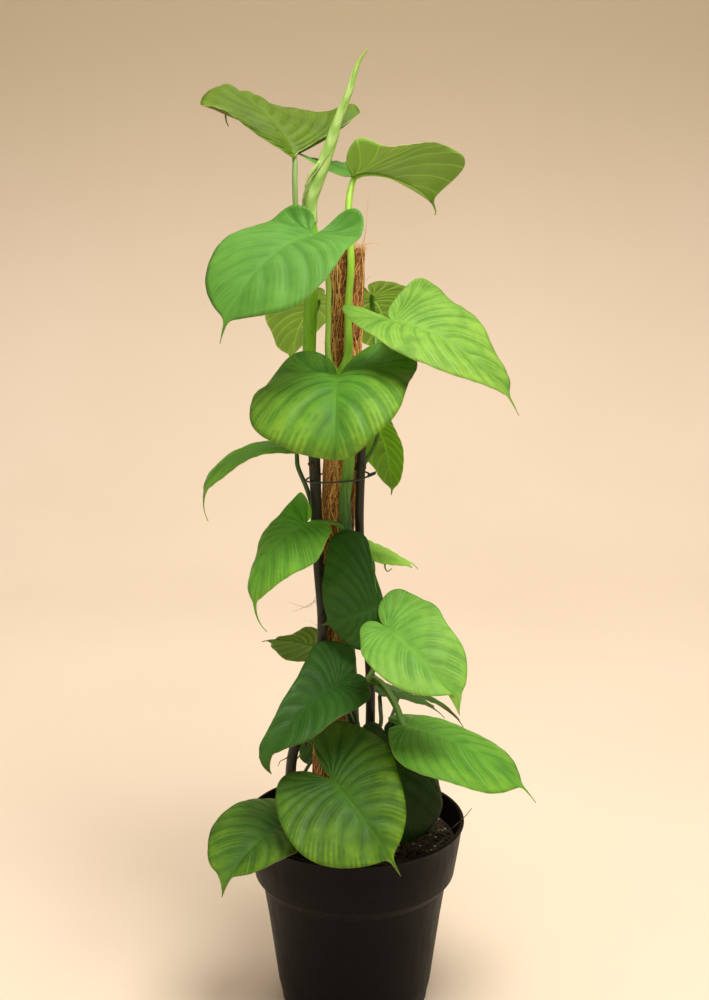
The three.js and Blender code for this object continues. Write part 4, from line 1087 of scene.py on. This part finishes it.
# Each leaf's palette, how light its colours are, then how much it glows towards its margin, how mottled it
# is and how its ribs stand out, and the colours of its petiole.
# How light a leaf's colours are is partly painted shade: leaf_12, leaf_15 and leaf_19 are made darker for the
# shade that falls on them.
LEAF_LOOKS = {
    "leaf_01": ("olive", 0.55, 0.2, 0.4, 0.6, "grey"),
    "leaf_02": ("young", 0.76, 0.3, 0.3, 0.5, "young"),
    "leaf_03": ("young", 0.8, 0.3, 0.15, 0.5, "young"),
    "leaf_04": ("bright", 0.8, 0.7, 0.6, 0.8, "young"),
    "leaf_05": ("middle", 1.0, 1.0, 0.3, 0.8, "young"),
    "leaf_06": ("young", 1.0, 0.2, 0.5, 0.8, "middle"),
    "leaf_07": ("young", 1.0, 0.3, 0.4, 0.8, "middle"),
    "leaf_08": ("middle", 1.3, 0.5, 0.3, 0.4, "dark"),
    "leaf_09": ("middle", 1.0, 0.5, 0.3, 0.6, "middle"),
    "leaf_10": ("middle", 1.4, 0.4, 0.2, 0.35, "middle"),
    "leaf_11": ("bright", 1.85, 0.4, 0.3, 0.4, "middle"),
    "leaf_12": ("deep", 0.68, 0.2, 0.2, 0.5, "middle"),
    "leaf_13": ("soft", 1.1, 0.5, 0.4, 0.4, "middle"),
    "leaf_14": ("deep", 0.75, 0.2, 0.3, 0.4, "dark"),
    "leaf_15": ("deep", 0.72, 0.2, 0.2, 0.45, "dark"),
    "leaf_16": ("deep", 0.8, 0.1, 0.3, 0.4, "dark"),
    "leaf_17": ("old", 0.8, 0.1, 0.3, 0.4, "dark"),
    "leaf_18": ("middle", 1.2, 0.5, 0.4, 0.5, "middle"),
    "leaf_19": ("old", 0.3, 0.1, 0.3, 0.4, "dark"),
    "leaf_20": ("old", 0.9, 0.9, 0.35, 0.7, "dark"),
    "leaf_21": ("old", 0.8, 0.7, 0.4, 0.6, "dark"),
    "leaf_22": ("old", 0.7, 0.1, 0.3, 0.4, "dark"),
}
BLEMISH = (-62, -74, 160)  # an orange-red mark on the lower left leaf


def upper_colour(look, swollen, sunken, shining, glow, mottle, ribs):
    """The upper side: furrows over the veins, darkened partly for the veins' own colour and partly as painted
    shade, a glow, mottling, streaks along the veins and pale specks.
    """
    vein, out, mid = (look.value(key) for key in ("vein", "out", "mid"))
    from_vein = look.math("PINGPONG", vein, 0.5)
    inner = look.times(look.ramp(out, 0.35, 1.0, 1.0, 0.25), look.ramp(mid, 0.5, 4))
    # Partly painted shade: the furrows over the veins are darkened towards the sunken colour.
    furrow = look.times(look.ramp(from_vein, 0.0, 0.24, 0.6 * ribs, 0.0), inner)
    swell = look.math("SUBTRACT", 1.0, furrow)
    swell = look.math("ADD", swell, look.ramp(look.noise(22, 4), 0.3, 0.7, -0.3, 0.2))
    color = look.mix(swell, sunken, swollen)
    patch = look.times(
        look.ramp(look.noise(150, 4, 0.6), 0.3, 0.7, 0.45, 1.0), look.ramp(out, 0.1, 1.0, 0.1, 1.0),
        look.ramp(look.value("along"), 0.2, 0.75, 0.3, 1.0), look.ramp(from_vein, 0.03, 0.3, 0.4, 1.0), glow,
    )
    color = look.mix(patch, color, shining)
    color = look.mix(look.times(look.ramp(look.noise(48, 5), 0.5, 0.72), mottle), color, sunken)
    fold = look.math("PINGPONG", look.times(vein, 4.0), 0.5)
    broken = look.ramp(look.noise(70, 3), 0.4, 0.62)
    streak = look.times(look.ramp(fold, 0.1, 0.4, 0.0, 0.45), broken, look.ramp(mid, 0.5, 6))
    color = look.mix(streak, color, sunken)
    # Partly painted shade: a darker line along the bottom of each furrow.
    apart = look.times(from_vein, look.value("gap"))
    line = look.times(look.ramp(apart, 0.1, 0.7, 0.4 * ribs, 0.0), inner)
    color = look.mix(line, color, faded(sunken, 0.6))
    color = look.mix(look.ramp(mid, 0.3, 1.1, 0.25, 0.0), color, faded(shining, 0.6))
    return look.mix(look.ramp(look.cells(420), 0.1, 0.16, 0.35 * mottle, 0.0), color, (200, 215, 130))


def under_colour(look, pale, sunken):
    """The under side: paler, partly its own colour and partly a painted glow of light shining through the
    blade, with raised pale veins.
    """
    color = look.mix(look.ramp(look.noise(22, 4), 0.3, 0.7, 0.0, 0.35), pale, sunken)
    apart = look.times(look.math("PINGPONG", look.value("vein"), 0.5), look.value("gap"))
    return look.mix(look.ramp(apart, 0.3, 0.9, 0.7, 0.0), color, faded(pale, 1.3))


def blade_look(name, side):
    """One side of a leaf: its colour, a mark where it has one, a brown tip and fine raised veins."""
    palette, light, glow, mottle, ribs, _ = LEAF_LOOKS[name]
    # The lightness scales every colour of the leaf, and for the leaves that hang in shade it is painted
    # shade.
    swollen, sunken, shining, under = (faded(tint(*colour), light) for colour in PALETTES[palette])
    look = Look(f"{name}_{side}")
    if side == "upper":
        color = upper_colour(look, swollen, sunken, shining, glow, mottle, ribs)
        rough = look.ramp(look.noise(60, 3), 0.3, 0.7, 0.44, 0.58)
        depth = 0.00022
    else:
        color = under_colour(look, under, sunken)
        rough = look.ramp(look.noise(150, 4, 0.6), 0.3, 0.7, 0.5, 0.62)
        depth = 0.00015
    along = look.value("along")
    if name == "leaf_21":
        color = look.mix(look.times(look.near(BLEMISH, 1.5, 3), 0.85), color, (190, 96, 42))
    if name == "leaf_17":
        color = look.mix(look.ramp(along, 0.86, 0.96), color, (120, 90, 50))
    color = look.mix(look.ramp(along, 0.975, 1.0, 0.0, 0.7), color, (128, 104, 48))
    veinlets = look.times(look.math("PINGPONG", look.times(look.value("vein"), 5.0), 0.5), 0.6)
    height = look.math("ADD", veinlets, look.times(look.noise(900, 3), 0.8))
    return look.finish(color, rough, look.bump(height, 0.5, depth), **THIN, IOR=1.42, Specular_IOR_Level=0.2)


def margin_look(name, colour):
    """The thin edge of a blade or of the spear's sheath."""
    look = Look(name)
    color = look.mix(look.ramp(look.noise(120), 0.35, 0.65), colour, tuple(c * 0.8 for c in colour))
    return look.finish(color, look.ramp(look.noise(400), 0.3, 0.7, 0.4, 0.55))


def stalk_look(name, upper, lower, ridge):
    """A petiole: its colour near the stem and near the blade, with pale ridges and fine streaks."""
    look = Look(name)
    color = look.mix(look.ramp(look.value("run"), 5, 60), lower, upper)
    streak = look.noise(90, 4, 0.6, look.stretched(6, 6, 0.5))
    color = look.mix(look.ramp(streak, 0.45, 0.75, 0.0, 0.5), color, ridge)
    color = look.mix(look.ramp(look.value("turn"), 0.55, 0.95, 0.0, 0.45), color, ridge)
    rough = look.ramp(streak, 0.3, 0.7, 0.34, 0.46)
    normal = look.bump(streak, 0.4, 0.0003)
    return look.finish(color, rough, normal, Subsurface_Weight=0.08, Subsurface_Scale=0.002)


# Each stem's colours low down and high up, the heights between which they change, and its streaks.
STEM_SKINS = {
    "stem_front": ((28, 84, 14), (134, 196, 44), 390, 470, (140, 186, 70)),
    "stem_left": ((20, 24, 16), (134, 196, 32), 440, 500, (70, 82, 48)),
    "stem_right": ((22, 24, 16), (44, 46, 24), 300, 500, (72, 48, 34)),
}


def stem_look(name, low, high, low_z, high_z, ridge):
    """A climbing stem: its colour low down and high up, streaks along it and corky specks."""
    look = Look(name)
    color = look.mix(look.ramp(look.height(), low_z * MM, high_z * MM), low, high)
    streak = look.noise(60, 5, 0.6, look.stretched(8, 8, 0.6))
    color = look.mix(look.ramp(streak, 0.45, 0.75, 0.0, 0.45), color, ridge)
    color = look.mix(look.ramp(look.noise(500, 3), 0.62, 0.7, 0.0, 0.35), color, (92, 78, 48))
    rough = look.ramp(streak, 0.3, 0.7, 0.36, 0.55)
    return look.finish(color, rough, look.bump(look.noise(260, 4), 0.35, 0.0004))


# What is made of many small pieces: dark, middle and light colours, roughness, depth and fineness of grain.
GRAINS = {
    "root_bark": ((70, 52, 34), (104, 78, 50), (140, 110, 74), 0.8, 0.0004, 700),
    "coir_felt": ((84, 44, 20), (168, 110, 54), (216, 160, 92), 0.95, 0.0008, 500),
    "coir_strands": ((150, 84, 34), (236, 172, 88), (252, 216, 140), 0.8, 0.0002, 900),
    "soil_crumbs": ((28, 23, 14), (48, 39, 25), (84, 69, 45), 0.95, 0.0008, 600),
    "white_grains": ((178, 172, 160), (206, 202, 192), (228, 226, 218), 0.9, 0.0006, 800),
    "dry_fibres": ((84, 60, 38), (128, 96, 62), (176, 150, 104), 0.85, 0.0003, 700),
}


def grain_look(name):
    """Something made of many small pieces: each has its own tone, and each is streaked."""
    dark, middle, light, rough, depth, scale = GRAINS[name]
    look = Look(name)
    tone = look.math("ADD", look.value("tone"), look.ramp(look.noise(scale, 4), 0.3, 0.7, -0.25, 0.25))
    color = look.mix(look.ramp(tone, 0.0, 0.55), dark, middle)
    color = look.mix(look.ramp(tone, 0.5, 1.0), color, light)
    return look.finish(color, rough, look.bump(look.noise(scale, 5, 0.6), 0.6, depth))


def pot_look():
    """Black plastic with a slight sheen, faint scuffs and a little dust."""
    look = Look("pot_plastic")
    scuff = look.noise(70, 5, 0.65, look.stretched(3, 3, 0.4))
    color = look.mix(look.ramp(scuff, 0.45, 0.8, 0.0, 0.5), (5, 4, 4), (12, 10, 9))
    color = look.mix(look.ramp(look.noise(420, 3), 0.66, 0.74, 0.0, 0.12), color, (86, 74, 60))
    rough = look.ramp(scuff, 0.3, 0.75, 0.42, 0.56)
    normal = look.bump(look.noise(1500, 2), 0.12, 0.0002)
    return look.finish(color, rough, normal, Specular_IOR_Level=0.1)


def stake_look():
    """Bare wood with its grain along the stake."""
    look = Look("stake_wood")
    grain = look.noise(60, 5, 0.6, look.stretched(10, 10, 0.6))
    color = look.mix(look.ramp(grain, 0.35, 0.7), (122, 92, 58), (164, 130, 88))
    return look.finish(color, look.ramp(grain, 0.3, 0.7, 0.65, 0.8), look.bump(grain, 0.4, 0.0004))


def wire_look():
    """Dark green coated wire."""
    look = Look("tie_coating")
    color = look.mix(look.ramp(look.noise(300), 0.4, 0.7), (38, 48, 38), (66, 76, 62))
    return look.finish(color, look.ramp(look.noise(200), 0.3, 0.7, 0.4, 0.55))


def spear_look(name, light, dark):
    """The rolled leaf: pale green with its veins running slantwise round it and a darker end."""
    look = Look(name)
    height = look.height()
    slant = look.math("ADD", look.times(height, 60), look.value("turn"))
    bands = look.math("PINGPONG", look.math("ADD", slant, look.noise(40, 2)), 0.5)
    color = look.mix(look.ramp(bands, 0.1, 0.4, 0.0, 0.6), light, dark)
    color = look.mix(look.ramp(height, 0.70, 0.722), color, (150, 185, 70))
    rough = look.ramp(look.noise(80), 0.3, 0.7, 0.36, 0.46)
    return look.finish(color, rough, look.bump(bands, 0.3, 0.0003), **THIN)


def dress():
    """Builds every piece of the plant and its pot, and gives each its looks."""
    slots = {row["node"]: row["material_slot"] for row in frame["record"]["subparts"]}
    stalks = {name: stalk_look(f"stalk_{name}", *colours) for name, colours in STALKS.items()}
    pale = margin_look("margin_pale", (186, 200, 110))
    pink = margin_look("margin_pink", (150, 120, 84))
    for number, name in enumerate(LEAVES, 1):
        palette, *_, stalk = LEAF_LOOKS[name]
        margin = pink if palette in ("old", "deep") else pale
        looks = [blade_look(name, "upper"), blade_look(name, "under"), margin, stalks[stalk]]
        leaf(name, number).build(f"{name}_blade", looks, slots[name], name)
    bark, felt, strands, earth, white, straw = (grain_look(name) for name in GRAINS)
    for name, shape in stems().items():
        skin = stem_look(f"{name}_skin", *STEM_SKINS[name])
        shape.build(f"{name}_skin", [skin, bark], slots[name], name)
    coir().build("coir_fibres", [felt, strands], "coir", "coir_sleeve")
    pot(pot_look())
    soil().build("soil_surface", [earth, white, straw], "soil_mix", "soil")
    tie().build("tie_twisted", [wire_look()], "tie", "tie_wire")
    roll = spear_look("spear_roll", (184, 216, 124), (122, 176, 58))
    sheath = spear_look("spear_sheath", (186, 214, 124), (140, 184, 76))
    edge = margin_look("sheath_edge", (172, 186, 110))
    spear().build("spear_rolled", [roll, sheath, edge], "spear_green", "spear")
    wood = stake_look()
    for held in frame["nodes"]["pole_stake"].material_slots:
        held.material = wood


def backdrop():
    """A plain pale floor that curves up into a plain pale wall, with painted shade that darkens it towards
    its top.
    """
    width, near_y, far_y, radius, tall = 3.2, -2.6, 1.1, 0.9, 3.2
    bend = np.linspace(0, math.pi / 2, 17)
    line = [(near_y, 0), *((far_y + radius * math.sin(a), radius * (1 - math.cos(a))) for a in bend)]
    line.append((far_y + radius, tall))
    points = [(x, y, z) for y, z in line for x in (-width, width)]
    faces = [(2 * i, 2 * i + 1, 2 * i + 3, 2 * i + 2) for i in range(len(line) - 1)]
    mesh = bpy.data.meshes.new("floor")
    mesh.from_pydata(points, [], faces)
    mesh.polygons.foreach_set("use_smooth", [True] * len(faces))
    look = Look("floor_paper")
    color = look.mix(look.ramp(look.noise(3, 2), 0.3, 0.7), (232, 214, 192), (235, 217, 196))
    # Painted shade: the paper darkens with height, where the light falls off up the wall.
    color = look.mix(look.ramp(look.height(), 0.0, 1.05), color, (178, 162, 136))
    mesh.materials.append(look.finish(color, 0.9))
    floor = bpy.data.objects.new("floor", mesh)
    bpy.context.scene.collection.objects.link(floor)


def lamp(name, place, target, size, power, colour):
    """A round soft light that points at a target, in metres."""
    light = bpy.data.lights.new(name, "AREA")
    light.shape = "DISK"
    light.size = size
    light.energy = power
    light.color = colour
    holder = bpy.data.objects.new(name, light)
    holder.location = place
    aim = Vector(target) - Vector(place)
    holder.rotation_euler = aim.to_track_quat("-Z", "Y").to_euler()
    bpy.context.scene.collection.objects.link(holder)


# The camera, worked out from the ellipse of the pot's rim: metres in front and up, and degrees down.
CAMERA_AWAY = 1.101
CAMERA_UP = 0.654
CAMERA_PITCH = 12.9
LENS = 55


def studio():
    """Soft light from above and the front, a weak fill, and the camera at the photograph's angle."""
    backdrop()
    lamp("key", (0.4, -0.85, 2.2), (0, 0, 0.35), 1.1, 46, (1, 0.96, 0.9))
    lamp("fill", (-1.3, -1.5, 1.0), (0, 0, 0.4), 1.2, 5, (1, 0.96, 0.9))
    lamp("wall", (0, 0.5, 2.6), (0, 1.5, 0.0), 1.8, 33, (1, 0.95, 0.88))
    world = bpy.data.worlds.new("room")
    bpy.context.scene.world = world
    world.use_nodes = True
    shade = world.node_tree.nodes["Background"]
    shade.inputs["Color"].default_value = tint(246, 232, 214)
    shade.inputs["Strength"].default_value = 0.3
    lens = bpy.data.cameras.new("view")
    lens.lens = LENS
    lens.sensor_width = 36
    camera = bpy.data.objects.new("view", lens)
    camera.location = (0, -CAMERA_AWAY, CAMERA_UP)
    camera.rotation_euler = (math.radians(90 - CAMERA_PITCH), 0, 0)
    bpy.context.scene.collection.objects.link(camera)
    bpy.context.scene.camera = camera
    bpy.context.scene.view_settings.view_transform = "Standard"


dress()
studio()
bpy.context.view_layer.update()
